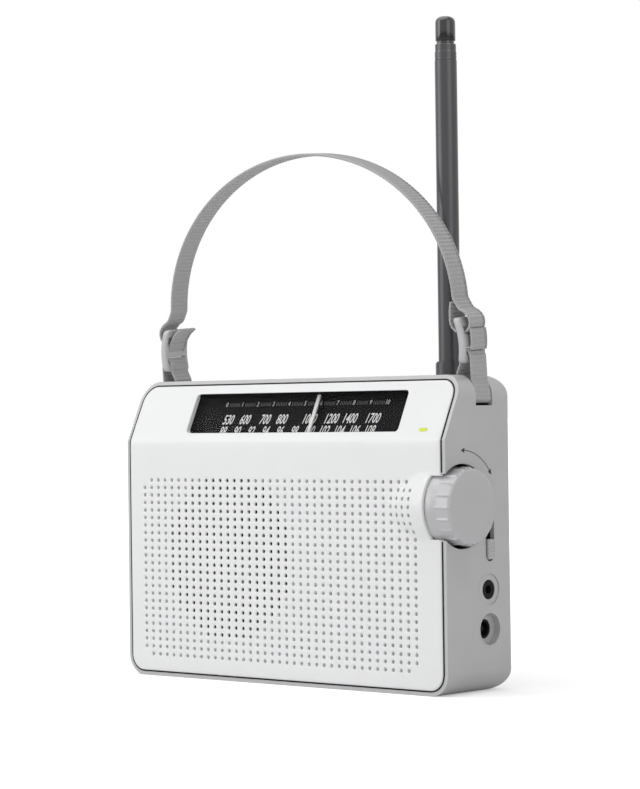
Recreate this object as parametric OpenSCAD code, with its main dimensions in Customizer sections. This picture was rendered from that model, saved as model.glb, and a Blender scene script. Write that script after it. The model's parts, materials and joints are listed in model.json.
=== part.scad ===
// Portable analogue radio with a carrying strap, a side tuning knob and a telescopic aerial.
// Origin: middle of the flat bottom. +X is the radio's right, -Y its front, +Z up. Millimetres.

/* [Case] */
// Width of the case
case_w = 172; // [160:1:210]
// Depth of the case, from the front panel to the back
case_d = 39.9; // [38.5:0.1:50]
// Height of the case
case_h = 122.9; // [121:0.1:150]
// Wall of both mouldings
wall = 2; // [1.6:0.1:2.2]
// Corner radius seen from the front
corner_r = 8.5; // [7:0.5:9]
// Radius of the long top and bottom edges at the back
back_r = 8; // [6:0.5:9]
// Height at which the front starts to lean back
slant_z = 98; // [97:0.5:99]
// How far the top of the front leans back
slant_run = 12; // [8:0.5:12]
// How far the front panel stands proud of the cabinet's rim
panel_proud = 0.6; // [0.2:0.1:1]
// Thickness of the front panel
panel_t = 2.2; // [1.8:0.1:2.4]
// Gap around a piece that is set into another
fit_gap = 0.1; // [0.05:0.05:0.2]

/* [Loudspeaker] */
// Distance of the loudspeaker's centre from the left end
speaker_from_left = 58.3; // [52:0.1:64]
// Height of the loudspeaker's centre
speaker_z = 50.5; // [44:0.5:54]
// Radius of the loudspeaker's frame
speaker_r = 38.5; // [32:0.5:38.5]
// Depth of the loudspeaker
speaker_depth = 18.5; // [15:0.5:19]
// Radius of its magnet
magnet_r = 14.5; // [11:0.5:15]
// Width across one grille hole
hole_w = 1.7; // [1.2:0.1:2.2]
// Column spacing of the grille
pitch_x = 3.96; // [3.6:0.01:4.4]
// Row spacing of the grille
pitch_z = 3.155; // [2.9:0.005:3.6]
// Distance of the first grille column from the left end
grille_left = 10.7; // [8:0.1:14]
// Height of the lowest grille row
grille_z = 9.2; // [7:0.1:12]

/* [Dial] */
// Distance of the dial window from the left end
window_left = 33; // [28:0.5:40]
// Distance of the dial window from the right end
window_right = 24; // [20:0.5:30]
// Height of the dial window along the slope
window_h = 18.7; // [16:0.1:19]
// Distance of the window's lower edge above the crease, along the slope
window_up = 3.1; // [2.5:0.1:4]
// Pointer travel to the low end of the scale
pointer_down = 45.5; // [30:0.5:45.5]
// Pointer travel to the high end of the scale
pointer_up = 40.5; // [30:0.5:40.5]
// Place of the pointer at rest, right of the middle
pointer_x = 12.5; // [8:0.5:13]
// Width of the pointer
pointer_w = 1.6; // [1:0.1:2.4]
// Radius of the cord drum on the tuning shaft
drum_r = 5; // [4.5:0.1:5.2]
// Diameter of the dial cord
cord_d = 0.6; // [0.5:0.1:0.8]
// Height of the cord's long runs and of the pointer rail
rail_z = 94; // [93:0.5:94.5]

/* [Tuning] */
// Radius of the tuning knob's flange
knob_r = 15.3; // [13:0.1:15.5]
// Length of the tuning knob
knob_l = 11.8; // [10:0.1:14]
// How far the knob stands out of the right side
knob_out = 5; // [3:0.1:7]
// Distance of the knob's axis behind the front
knob_back = 10.95; // [10:0.05:11.5]
// Height of the knob's axis
knob_z = 72.3; // [70:0.1:73]
// Radius of the tuning shaft
shaft_r = 1.5; // [1.2:0.1:1.5]
// Tooth module of the tuning gears
gear_module = 0.4; // [0.35:0.01:0.42]
// Teeth on the pinion
pinion_teeth = 10; // [10:1:12]
// Teeth on the capacitor's gear
gear_teeth = 56; // [50:1:58]

/* [Side controls and sockets] */
// Distance of the side controls behind the case's middle plane
side_y = 7; // [6.8:0.1:7.4]
// Height of the headphone socket
headphone_z = 39.6; // [38:0.1:41]
// Radius of the headphone socket's bore
headphone_r = 1.78; // [1.75:0.01:1.82]
// Height of the power socket
power_z = 24.3; // [22:0.1:25]
// Height of the band slider's middle at rest
slider_z = 55.2; // [54:0.1:56]
// Travel of the band slider
slider_travel = 8; // [6:0.5:8]
// Height of the volume wheel's axis
volume_z = 74; // [70:0.5:76]
// Radius of the volume wheel
volume_r = 9.5; // [9:0.1:10]

/* [Power] */
// Diameter of one battery cell
cell_d = 14.5; // [13.5:0.1:14.6]
// Length of one battery cell with its terminal
cell_l = 50.5; // [44:0.1:51]
// Height of the bottom of the battery bay
bay_z = 9.5; // [9:0.1:11]

/* [Strap] */
// Width of the webbing
strap_w = 9.8; // [8.5:0.1:9.8]
// Thickness of the webbing
strap_t = 1.2; // [0.8:0.1:1.2]
// Height of the top of the strap above the case
strap_rise = 91; // [70:1:120]
// Lean of the standing strap towards the front, in degrees
strap_lean = 4; // [3:0.5:6]
// Width of a strap buckle
buckle_w = 12.4; // [12.2:0.1:12.4]
// Height of a strap buckle
buckle_h = 18; // [17:0.5:22]

/* [Aerial] */
// Distance of the aerial's foot from the right end
aerial_from_right = 25; // [24:0.5:30]
// Distance of the aerial's axis from the back
aerial_from_back = 4.45; // [4.4:0.05:4.5]
// Radius of the outer aerial tube
aerial_r = 4.4; // [3.6:0.1:4.4]
// Length of the outer aerial tube above its collar
aerial_l = 119.5; // [90:0.5:122]
// Length of the aerial's cap
cap_l = 11; // [8:0.5:14]

/* [Hidden] */
$fn = 48;
left_x = -case_w / 2;
right_x = case_w / 2;
front_y = -case_d / 2;
back_y = case_d / 2;
slant_angle = atan(slant_run / (case_h - slant_z));
slant_len = sqrt(pow(slant_run, 2) + pow(case_h - slant_z, 2));
panel_back_y = front_y + panel_t;
inner_back_y = back_y - wall;
tiny = 0.01;
run_gap = 0.05;
past = 1;

// grille
grille_cols = floor((case_w - 2 * grille_left + 0.3) / pitch_x) + 1;
grille_rows = floor((slant_z - 16 - grille_z) / pitch_z) + 1;
speaker_x = left_x + speaker_from_left;
grille_open_r = speaker_r - 4;

// dial
window_x0 = left_x + window_left;
window_x1 = right_x - window_right;
lens_t = 1.5;
plate_gap = 5.2;
plate_t = 1;
needle_gap = 3;
needle_t = 0.6;
carrier_w = 8;
rail_r = 1;
frame_y = -1.5;
frame_t = 1.5;

// tuning
knob_y = front_y + knob_back;
knob_x1 = right_x + knob_out;
knob_x0 = knob_x1 - knob_l;
drum_x = right_x - 20;
pulley_r = 3;
pulley_x = drum_x - pulley_r;
pulley_z = rail_z - pulley_r;
idler_x = window_x0 + 5;
cord_front_y = knob_y - drum_r;
cord_back_y = knob_y + drum_r;
groove_gap = cord_d / 2 + run_gap;
fairing_x0 = knob_x0 - 20.7;
fairing_x1 = knob_x0 - 0.4;
fairing_r = knob_r + 1.1;
bearing_t = 2;
bearing_r = knob_r - 0.7;
pocket_r = knob_r + 1.1;
gear_x = right_x - 29.5;
gear_w = 2;
gear_distance = gear_module * (pinion_teeth + gear_teeth) / 2;
gear_y = knob_y + 4;
gear_z = knob_z - sqrt(pow(gear_distance, 2) - pow(gear_y - knob_y, 2));
spindle_r = 1.5;
capacitor_w = 18;
capacitor_t = 12;
bracket_x = gear_x - 2.5;
bracket_t = 1.2;

// board
board_t = 1.6;
board_y = inner_back_y - 5.55;
board_x0 = right_x - 86;
board_x1 = right_x - 6.2;
board_z0 = 14;
board_z1 = 88;
board_posts = [[board_x0 + 6, 20], [board_x0 + 6, 82], [board_x1 - 18, 20], [board_x1 - 18, 84]];

// side controls
jack_x1 = right_x - wall - 0.3;
slider_w = 3.8;
slider_h = 7.7;
slider_y0 = side_y - 1.3;
slot_edge = 0.8;
switch_x1 = right_x - 7;
volume_x = left_x + 8;
volume_y = 7;
volume_t = 3;
dc_depth = 3;

// power
bay_x0 = left_x + 11.5;
bay_x1 = bay_x0 + cell_l + 10;
bay_z1 = bay_z + 2 * (cell_d + 0.7);
tray_y = inner_back_y - 0.7 - cell_d;
tray_wall = 1.2;
door_lip = 1.2;
door_t = 1;
door_gap = 0.2;

// case screws
boss_r = 3.8;
boss_from_side = 7;
boss_tip_y = panel_back_y + 5.75;
bosses = [[left_x + boss_from_side, 8.5], [right_x - boss_from_side, 8.5],
          [left_x + boss_from_side, 95], [right_x - boss_from_side, 95]];

// strap
strap_y = 5.2;
strap_pivot_z = case_h + 0.1;
strap_top_z = case_h + strap_rise;
strap_half = case_w / 2 - 5;
arc_z = case_h + 27;
corner_x = case_w / 2 - corner_r;
corner_z = case_h - corner_r;
channel_depth = 1.5;
bend_r = 0.7 + strap_t / 2;
bridge_end_r = bend_r - strap_t / 2 - 0.15;
loop_out_r = corner_r - channel_depth + 0.15 + strap_t / 2;
low_bend = [loop_out_r - bend_r, -0.8];
high_bend = [0.3, 3.8];
slot_drop = 3.5;
slot_y0 = strap_y - strap_w / 2 - 0.3;
slot_y1 = strap_y + strap_w / 2 + 0.2;
buckle_x = case_w / 2 - 5;
buckle_z = case_h + 4.6;
buckle_t = 3.2;
buckle_side = 1.1;
buckle_bar = 2.3;
buckle_slot = (buckle_h - 2 * buckle_bar - 2.8) / 2;

// aerial
aerial_x = right_x - aerial_from_right;
aerial_y = back_y - aerial_from_back;
pivot_z = case_h - 4.9;
collar_r = aerial_r + 1.2;
collar_z = case_h + 0.3;
collar_h = 5.3;
tube_wall = 0.5;
tube_top = collar_z + collar_h + aerial_l;
section2_r = aerial_r - tube_wall - run_gap;
section3_r = section2_r - 0.5;
rod_r = section3_r - 0.5;
band_h = 3;
groove_gap_aerial = 0.4;
groove_z = pivot_z - aerial_r - groove_gap_aerial;
well_z = pivot_z - collar_r - 0.3;
post_r = 3.5;
post_l = 8;
ear_gap = 1.5;
ear_t = 1.8;
ear_w = 6.4;
aerial_pin_r = 1.2;

// ---------- helpers ----------

// Where the front surface stands at height z
function front_at(z) = front_y + max(0, z - slant_z) * slant_run / (case_h - slant_z);

module extrude_x(x0, x1) { translate([x0, 0, 0]) rotate([90, 0, 90]) linear_extrude(x1 - x0) children(); }
module extrude_y(y0, y1) { translate([0, y1, 0]) rotate([90, 0, 0]) linear_extrude(y1 - y0) children(); }
module block(low, high) { translate(low) cube(high - low); }
module along_x(x0, x1, y, z, r) { translate([x0, y, z]) rotate([0, 90, 0]) cylinder(h = x1 - x0, r = r); }
module along_y(y0, y1, x, z, r) { translate([x, y1, z]) rotate([90, 0, 0]) cylinder(h = y1 - y0, r = r); }
module on_slope() { translate([0, front_y, slant_z]) rotate([-slant_angle, 0, 0]) children(); }
module mirrored(side) { if (side < 0) mirror([1, 0, 0]) children(); else children(); }

module rounded(x0, z0, x1, z1, r) {
    translate([x0 + r, z0]) square([x1 - x0 - 2 * r, z1 - z0]);
    translate([x0, z0 + r]) square([x1 - x0, z1 - z0 - 2 * r]);
    for (x = [x0 + r, x1 - r], z = [z0 + r, z1 - r]) translate([x, z]) circle(r);
}

// Outline of the case seen from the front, moved in by inset
module face_outline(inset) {
    rounded(left_x + inset, inset, right_x - inset, case_h - inset, corner_r - inset);
}

// Side view of the case, with its front moved by shift and its other edges in by inset
module side_outline(inset, shift) {
    y1 = back_y - back_r;
    polygon([[front_y + shift, inset], [y1, inset], [y1, case_h - inset],
             [front_at(case_h - inset) + shift, case_h - inset], [front_y + shift, slant_z]]);
    translate([y1 - tiny, back_r]) square([back_r - inset + tiny, case_h - 2 * back_r]);
    for (z = [back_r, case_h - back_r]) translate([y1, z]) circle(back_r - inset);
}

// Side view of a skin that follows the front, from one depth to another
module front_skin(from, to) {
    top = case_h + past;
    polygon([[front_y + from, -past], [front_y + from, slant_z], [front_at(top) + from, top],
             [front_at(top) + to, top], [front_y + to, slant_z], [front_y + to, -past]]);
}

// A band of thickness t along a line of points
function unit(v) = v / norm(v);
function side_of(p, i) = let (a = p[max(0, i - 1)], b = p[min(len(p) - 1, i + 1)], d = unit(b - a))
    [-d[1], d[0]];
module ribbon(p, t) {
    polygon(concat([for (i = [0:len(p) - 1]) p[i] + side_of(p, i) * t / 2],
                   [for (i = [len(p) - 1:-1:0]) p[i] - side_of(p, i) * t / 2]));
}

// Flank point of an involute tooth: base radius rb, roll angle a in degrees
function involute(rb, a) = rb * [cos(a) + a * PI / 180 * sin(a), sin(a) - a * PI / 180 * cos(a)];
function roll_at(rb, r) = sqrt(max(0, pow(r / rb, 2) - 1)) * 180 / PI;
function turned(p, a) = [p[0] * cos(a) - p[1] * sin(a), p[0] * sin(a) + p[1] * cos(a)];

// Spur gear with thinned teeth, one tooth centred on the first axis
module spur_gear(teeth, outer, inner) {
    rp = gear_module * teeth / 2;
    rb = rp * cos(20);
    pitch_roll = roll_at(rb, rp);
    pitch_turn = atan2(involute(rb, pitch_roll)[1], involute(rb, pitch_roll)[0]);
    half_tooth = 90 / teeth * 0.8;
    steps = 4;
    low_r = max(rb, rp - inner * gear_module);
    flank = [for (i = [0:steps])
        let (r = low_r + (rp + outer * gear_module - low_r) * i / steps)
        turned(involute(rb, roll_at(rb, r)), -pitch_turn - half_tooth)];
    root = (rp - inner * gear_module) * unit(flank[0]);
    side = concat([root], flank);
    polygon([for (k = [0:teeth - 1]) each
        concat([for (p = side) turned(p, k * 360 / teeth)],
               [for (i = [len(side) - 1:-1:0]) turned([side[i][0], -side[i][1]], k * 360 / teeth)])]);
}

// ---------- case ----------

module fairing(inset) {
    steps = 8;
    span = fairing_x1 - fairing_x0;
    line = [for (i = [0:steps]) let (x = span * i / steps)
        [fairing_r - inset - (fairing_r - knob_back) * pow((span - x) / span, 1.6), x]];
    translate([fairing_x0, knob_y, knob_z]) rotate([0, 90, 0]) rotate_extrude()
        polygon(concat([[0, 0]], line, [[0, span]]));
}

module screw_boss_front(p) {
    difference() {
        along_y(panel_back_y - tiny, boss_tip_y - fit_gap, p[0], p[1], boss_r);
        along_y(panel_back_y + 0.5, boss_tip_y + past, p[0], p[1], 1.3);
    }
}

module grille_holes() {
    for (i = [0:grille_cols - 1], j = [0:grille_rows - 1]) {
        x = left_x + grille_left + i * pitch_x;
        z = grille_z + j * pitch_z;
        if (norm([x - speaker_x, z - speaker_z]) < grille_open_r)
            translate([x, z]) circle(d = hole_w, $fn = 6);
    }
}

module window_cut(grow) {
    on_slope() extrude_y(-past, panel_t + past)
        rounded(window_x0 - grow, window_up - grow, window_x1 + grow, window_up + window_h + grow, 2);
}

module front_panel() {
    color("white") difference() {
        union() {
            intersection() {
                extrude_y(front_y - past, back_y) face_outline(wall + fit_gap);
                extrude_x(left_x, right_x) front_skin(0, panel_t);
            }
            intersection() {
                difference() { fairing(0); fairing(2); }
                block([fairing_x0, front_y - 8, 0], [knob_x0, panel_back_y + 3, case_h]);
            }
            along_x(fairing_x1 - bearing_t, fairing_x1, knob_y, knob_z, bearing_r);
            for (p = bosses) screw_boss_front(p);
            on_slope() difference() {
                block([window_x0 - 3, panel_t - 0.5, window_up - 1],
                      [window_x1 + 3, plate_gap, window_up + window_h + 1.5]);
                block([window_x0 - 1.5, 0, -past],
                      [window_x1 + 1.5, plate_gap + past, window_up + window_h + tiny]);
            }
        }
        extrude_y(front_y - past, panel_back_y + past) grille_holes();
        window_cut(0);
        intersection() {
            fairing(2);
            block([fairing_x0, front_y - 8, 0], [fairing_x1 - bearing_t, panel_back_y + 3.1, case_h]);
        }
        along_x(fairing_x1, right_x + past, knob_y, knob_z, pocket_r);
        along_x(fairing_x1 - 3, fairing_x1 + past, knob_y, knob_z, shaft_r + run_gap);
        lamp_shape(fit_gap, panel_t + past);
    }
}

module rear_case() {
    color("silver") difference() {
        union() {
            difference() {
                intersection() {
                    extrude_x(left_x, right_x) side_outline(0, panel_proud);
                    extrude_y(front_y - past, back_y + past) face_outline(0);
                }
                intersection() {
                    extrude_x(left_x, right_x) side_outline(wall, -past);
                    extrude_y(front_y - 2 * past, back_y) face_outline(wall);
                }
            }
            intersection() {
                case_furniture();
                extrude_x(left_x, right_x) side_outline(0, panel_proud);
                extrude_y(front_y - past, back_y + past) face_outline(0);
            }
        }
        case_cuts();
    }
}

// What is moulded on the inside of the rear case
module case_furniture() {
    for (p = bosses) along_y(boss_tip_y, back_y, p[0], p[1], boss_r);
    for (p = board_posts) along_y(board_y + board_t, back_y, p[0], p[1], 3);
    for (z = [volume_z - 8, volume_z + 9]) along_y(inner_back_y - 3, back_y, volume_x + 6, z, 2.5);
    block([bay_x0 - tray_wall, tray_y - tray_wall, bay_z - tray_wall],
          [bay_x1 + tray_wall, inner_back_y + tiny, bay_z1 + tray_wall]);
    block([left_x, aerial_y - aerial_r - 2, groove_z - wall],
          [aerial_x + 9, back_y, case_h]);
    block([aerial_x - 12.5, aerial_y - collar_r - 2, well_z - wall],
          [aerial_x + 9, back_y, case_h]);
    translate([aerial_x, aerial_y, well_z - post_l - 1.5]) cylinder(h = post_l + 1.5, r = post_r + 2.2);
    for (side = [-1, 1]) mirrored(side) extrude_y(slot_y0 - 1.2, slot_y1 + 0.7)
        translate([corner_x, corner_z]) strap_bridge();
    along_x(right_x - wall - dc_depth - 0.8, right_x, side_y, power_z, 7.4);
}

// The corner bar that a strap loop wraps, about the corner's centre
module strap_bridge() {
    along = unit(high_bend - low_bend);
    edge = bridge_end_r - 3 * tiny;
    down = edge * [-along[1], along[0]];
    intersection() {
        circle(corner_r - tiny);
        union() {
            polygon([high_bend + down, high_bend - [edge, 0], [high_bend[0] - edge, corner_r],
                     [corner_r, corner_r], [corner_r, low_bend[1]], low_bend, low_bend + down]);
            for (p = [low_bend, high_bend]) translate(p) circle(bridge_end_r);
        }
    }
}

// Channel down the side, slot in the side, slot in the top and the space behind the bar
module strap_slots() {
    reach = corner_r + past;
    difference() {
        union() {
            translate([-4.6, -slot_drop]) square([4.6 + corner_r - wall, corner_r - wall + slot_drop]);
            translate([0, -slot_drop]) square([reach, slot_drop]);
            translate([high_bend[0] - bend_r - strap_t, 2]) square([bend_r + strap_t, reach]);
        }
        strap_bridge();
    }
    difference() {
        translate([2, low_bend[1]]) square([reach, reach + 1]);
        circle(corner_r - channel_depth);
        translate([2, low_bend[1]]) square([corner_r - channel_depth - 2, -low_bend[1]]);
    }
}

// What is cut out of the rear case
module case_cuts() {
    for (p = bosses) {
        along_y(0, back_y + past, p[0], p[1], 2.9);
        along_y(boss_tip_y - past, back_y, p[0], p[1], 1.6);
    }
    for (p = board_posts) along_y(board_y, board_y + 5, p[0], p[1], 1.1);
    block([bay_x0, tray_y, bay_z], [bay_x1, back_y + past, bay_z1]);
    block([bay_x0 - door_lip - door_gap, back_y - door_t, bay_z - door_lip - door_gap],
          [bay_x1 + door_lip + door_gap, back_y + past, bay_z1 + door_lip + door_gap]);
    // groove for the folded aerial, its collar and its swivel
    block([left_x - past, aerial_y - aerial_r, groove_z], [aerial_x + 6, back_y + past, case_h + past]);
    block([aerial_x - 11, aerial_y - collar_r - 0.3, well_z], [aerial_x + 6, back_y + past, case_h + past]);
    translate([aerial_x, aerial_y, well_z]) cylinder(h = case_h, r = collar_r + 0.4);
    translate([aerial_x, aerial_y, well_z - post_l]) cylinder(h = post_l + past, r = post_r + run_gap);
    for (side = [-1, 1]) mirrored(side) extrude_y(slot_y0, slot_y1)
        translate([corner_x, corner_z]) strap_slots();
    // tuning knob, band slider and sockets
    along_x(right_x - wall - past, right_x + past, knob_y, knob_z, pocket_r);
    extrude_x(right_x - wall - past, right_x + past)
        rounded(slider_y0 - slot_edge, slider_z - slider_h / 2 - slot_edge,
                slider_y0 + slider_w + slot_edge, slider_z + slider_h / 2 + slider_travel + slot_edge, 2.6);
    along_x(right_x - wall - past, right_x + past, side_y, headphone_z, 3.85);
    along_x(right_x - 0.5, right_x + past, side_y, headphone_z, 6.1);
    along_x(right_x - dc_depth, right_x + past, side_y, power_z, 6.2);
    along_x(right_x - 12, right_x + past, side_y, power_z, 3.8);
    // slot for the volume wheel
    block([left_x - past, volume_y - 0.4, volume_z - 8],
          [left_x + wall + past, volume_y + volume_t + 0.4, volume_z + 8]);
}

module case_screws() {
    color("dimgray") for (p = bosses) {
        along_y(fit_gap, fit_gap + 2, p[0], p[1], 2.6);
        along_y(boss_tip_y - 4, fit_gap + tiny, p[0], p[1], 1.25);
    }
}

// ---------- dial ----------

module dial_window() {
    color([0.6, 0.7, 0.75, 0.4]) on_slope() extrude_y(0.3, 0.3 + lens_t)
        rounded(window_x0 + fit_gap, window_up + fit_gap,
                window_x1 - fit_gap, window_up + window_h - fit_gap, 2);
}

module dial_plate() {
    color("black") on_slope()
        block([window_x0 - 3, plate_gap, window_up - 0.9],
              [window_x1 + 3, plate_gap + plate_t, window_up + window_h + 1.5]);
}

module rail_post(x) {
    block([x, knob_y - 1.5, rail_z - 4.5], [x + 1.5, frame_y + tiny, rail_z - 3]);
    block([x, knob_y - 1.5, rail_z - 4.5], [x + 1.5, knob_y + 1.5, rail_z + 1.6]);
}

rail_x0 = pointer_x - pointer_down - carrier_w / 2 - 1;
rail_x1 = pointer_x + pointer_up + carrier_w / 2 + 0.6;

module dial_frame() {
    color("gainsboro") difference() {
        union() {
            block([idler_x - 6, frame_y, rail_z - 8], [drum_x + 6.5, frame_y + frame_t, rail_z + 8]);
            rail_post(rail_x0 - 1.5);
            rail_post(rail_x1);
            for (x = [idler_x - 8, drum_x + 6]) along_y(panel_back_y, frame_y + tiny, x, rail_z, 1.9);
            block([idler_x - 9.9, frame_y, rail_z - 2], [idler_x - 5, frame_y + frame_t, rail_z + 2]);
            block([idler_x - 3, knob_y - 2, rail_z - 4.5], [idler_x + 3, frame_y + tiny, rail_z - 3]);
            translate([idler_x, knob_y, rail_z - 3.5]) cylinder(h = 6, r = 1);
            along_y(cord_front_y - 1.4, frame_y + tiny, pulley_x, pulley_z, 1);
        }
        along_x(rail_x0 - 2, rail_x1 + 2, knob_y, rail_z, rail_r + fit_gap / 5);
    }
}

module pointer_rail() {
    color("lightsteelblue") along_x(rail_x0 - 1.5, rail_x1 + 1.5, knob_y, rail_z, rail_r);
}

module pointer() {
    arm_z = rail_z + cord_d / 2 + 0.7;
    needle_low = 0.4;
    needle_y = front_y + needle_low * sin(slant_angle) + needle_gap * cos(slant_angle);
    color("white") difference() {
        union() {
            block([pointer_x - carrier_w / 2, cord_front_y + 0.6, rail_z - 2.2],
                  [pointer_x + carrier_w / 2, cord_back_y - 1.5, arm_z + 1.3]);
            block([pointer_x - pointer_w / 2, needle_y, arm_z],
                  [pointer_x + pointer_w / 2, cord_front_y + 1, arm_z + 1.3]);
            on_slope() block([pointer_x - pointer_w / 2, needle_gap, needle_low],
                             [pointer_x + pointer_w / 2, needle_gap + needle_t, window_up + window_h - 0.2]);
            block([pointer_x - pointer_w / 2, needle_y, arm_z],
                  [pointer_x + pointer_w / 2, needle_y + 0.7, slant_z + needle_low + 0.2]);
        }
        along_x(pointer_x - carrier_w, pointer_x + carrier_w, knob_y, rail_z, rail_r + run_gap);
    }
}

// Grooved wheel about Z, effective radius r, flange height f above it
module grooved_wheel(r, f, w, bore) {
    bottom = r - groove_gap;
    translate([0, 0, -w / 2]) rotate_extrude()
        polygon([[bore, 0], [r + f, 0], [r + f, w * 0.15], [bottom, w * 0.35], [bottom, w * 0.65],
                 [r + f, w * 0.85], [r + f, w], [bore, w]]);
}

module pulley_front() {
    color("ivory") translate([pulley_x, cord_front_y, pulley_z]) rotate([90, 0, 0])
        grooved_wheel(pulley_r, 0.9, 2, 1 + run_gap);
}

module pulley_rear() {
    color("ivory") translate([pulley_x, cord_back_y, pulley_z]) rotate([90, 0, 0])
        grooved_wheel(pulley_r, 0.9, 2, 1 + run_gap);
}

module pulley_left() {
    color("ivory") translate([idler_x, knob_y, rail_z]) grooved_wheel(drum_r, 0.9, 2, 1 + run_gap);
}

module cord_arc(r, angle) {
    rotate_extrude(angle = angle) translate([r, 0]) circle(d = cord_d, $fn = 16);
}

module dial_cord() {
    r = cord_d / 2;
    color("khaki") {
        for (y = [cord_front_y, cord_back_y]) {
            along_x(idler_x, pulley_x, y, rail_z, r);
            translate([drum_x, y, knob_z]) cylinder(h = pulley_z - knob_z, r = r);
            translate([pulley_x, y, pulley_z]) rotate([90, 0, 0]) cord_arc(pulley_r, 90);
        }
        translate([idler_x, knob_y, rail_z]) rotate([0, 0, 90]) cord_arc(drum_r, 180);
        translate([drum_x, knob_y, knob_z]) rotate([90, 0, 90]) rotate([0, 0, 180]) cord_arc(drum_r, 180);
    }
}

// Lamp beside the dial: an oval light pipe through the slope
module lamp_shape(grow, depth) {
    on_slope() extrude_y(-0.1, depth) translate([right_x - 11.5, window_up + 1.2]) {
        translate([-1.4, -0.7 - grow]) square([2.8, 1.4 + 2 * grow]);
        for (x = [-1.4, 1.4]) translate([x, 0]) circle(0.7 + grow);
    }
}

module signal_lamp() { color("yellowgreen") lamp_shape(0, panel_t + 3); }

// ---------- tuning ----------

module tuning_knob() {
    ribs = 24;
    body_r = knob_r - 0.6;
    color("silver") translate([knob_x0, knob_y, knob_z]) rotate([0, 90, 0]) difference() {
        union() {
            rotate_extrude() polygon([[0, 0], [knob_r, 0], [knob_r, 2.2], [body_r, 2.8],
                [body_r - 0.3, knob_l - 2.4], [body_r - 1.2, knob_l - 0.9],
                [body_r - 2.2, knob_l - 0.4], [0, knob_l]]);
            for (i = [0:ribs - 1]) rotate([0, 0, (i + 0.5) * 360 / ribs])
                translate([body_r - 1, -0.4, 2.4]) cube([1.4, 0.8, knob_l - 5.2]);
        }
        translate([0, 0, -past]) cylinder(h = knob_l - 2 + past, r = shaft_r + fit_gap / 5);
    }
}

module tuning_shaft() {
    color("gainsboro") {
        along_x(bracket_x - 1.5, knob_x1 - 2.2, knob_y, knob_z, shaft_r);
        translate([drum_x, knob_y, knob_z]) rotate([0, 90, 0])
            grooved_wheel(drum_r, 1.3, 3, shaft_r - tiny);
        // the pinion's tooth gap faces the gear's axis
        toward = atan2(gear_z - knob_z, gear_y - knob_y);
        translate([gear_x - 0.5, knob_y, knob_z]) rotate([90, 0, 90]) linear_extrude(gear_w + 1)
            rotate([0, 0, toward + 180 / pinion_teeth]) spur_gear(pinion_teeth, 0.9, 1.1);
    }
}

module tuning_bracket() {
    color("lightsteelblue") difference() {
        block([bracket_x, knob_y - 6.5, gear_z - 9], [bracket_x + bracket_t, board_y, knob_z + 7]);
        along_x(bracket_x - past, bracket_x + 3, knob_y, knob_z, shaft_r + run_gap);
        along_x(bracket_x - past, bracket_x + 3, gear_y, gear_z, spindle_r + 0.4);
    }
}

module tuning_capacitor() {
    half = capacitor_w / 2;
    color("seashell") difference() {
        block([bracket_x - capacitor_t, gear_y - half, gear_z - half],
              [bracket_x, gear_y + half, gear_z + half]);
        along_x(bracket_x - 5, bracket_x + past, gear_y, gear_z, spindle_r + run_gap);
    }
}

module capacitor_gear() {
    toward = atan2(knob_z - gear_z, knob_y - gear_y);
    color("gold") {
        translate([gear_x, gear_y, gear_z]) rotate([90, 0, 90]) linear_extrude(gear_w)
            rotate([0, 0, toward]) spur_gear(gear_teeth, 0.9, 1.1);
        along_x(bracket_x - 4.8, gear_x + tiny, gear_y, gear_z, spindle_r);
    }
}

// ---------- loudspeaker ----------

module at_speaker() { translate([speaker_x, panel_back_y, speaker_z]) rotate([-90, 0, 0]) children(); }

module speaker_frame() {
    neck_r = magnet_r + 1.5;
    neck = speaker_depth - 8;
    color("dimgray") at_speaker() rotate_extrude() polygon([[speaker_r - 4.5, 0], [speaker_r, 0],
        [speaker_r, 1.2], [speaker_r - 2.6, 1.2], [speaker_r - 3.4, 4],
        [neck_r, neck], [neck_r, neck + 1.2],
        [6, neck + 1.2], [6, neck + 0.4], [neck_r - 0.8, neck + 0.4], [neck_r - 0.8, neck - 0.4],
        [speaker_r - 4.2, 3.8], [speaker_r - 4.5, 1.2]]);
}

module speaker_magnet() {
    color("darkslategray") at_speaker() difference() {
        translate([0, 0, speaker_depth - 6.8]) cylinder(h = 6.8, r = magnet_r);
        translate([0, 0, speaker_depth - 7.8]) cylinder(h = 5, r = 6.2);
    }
}

module speaker_cone() {
    edge = speaker_r - 4.7;
    color("black") at_speaker() rotate_extrude() polygon([[0, 5.2], [3, 5.6], [5.5, 6.9], [7, 8], [edge - 4, 1.6],
        [edge - 2, 0.6], [edge, 1.4], [edge, 1.9], [edge - 2, 1.1], [edge - 4, 2.2], [7.2, 8.8],
        [5.5, 8.8], [5.5, 10.8], [4.9, 10.8], [4.9, 7.5], [3, 6.2], [0, 5.8]]);
}

function speaker_screw(a) = [speaker_x, speaker_z] + (speaker_r + 2.6) * [cos(a), sin(a)];

module speaker_screws() {
    color("lightgray") for (a = [45, 165, 285]) {
        p = speaker_screw(a);
        difference() {
            along_y(panel_back_y, panel_back_y + 1.2, p[0], p[1], 2.2);
            along_y(panel_back_y - past, panel_back_y + 2, p[0], p[1], 1);
        }
        along_y(panel_back_y + 1.2 + tiny, panel_back_y + 2.6, p[0], p[1], 3.6);
        along_y(panel_back_y, panel_back_y + 1.3, p[0], p[1], 1 - 0.02);
    }
}

// ---------- electronics ----------

module circuit_board() {
    color("darkgreen") difference() {
        block([board_x0, board_y, board_z0], [board_x1, board_y + board_t, board_z1]);
        for (p = board_posts) along_y(board_y - past, board_y + board_t + past, p[0], p[1], 1.2);
    }
}

module board_screws() {
    color("lightgray") for (p = board_posts) {
        along_y(board_y - 1.6, board_y, p[0], p[1], 2.4);
        along_y(board_y - tiny, board_y + 4.5, p[0], p[1], 1);
    }
}

module radio_chip() {
    color("black") block([board_x0 + 24, board_y - 2, 54], [board_x0 + 36, board_y, 63]);
}

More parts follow.
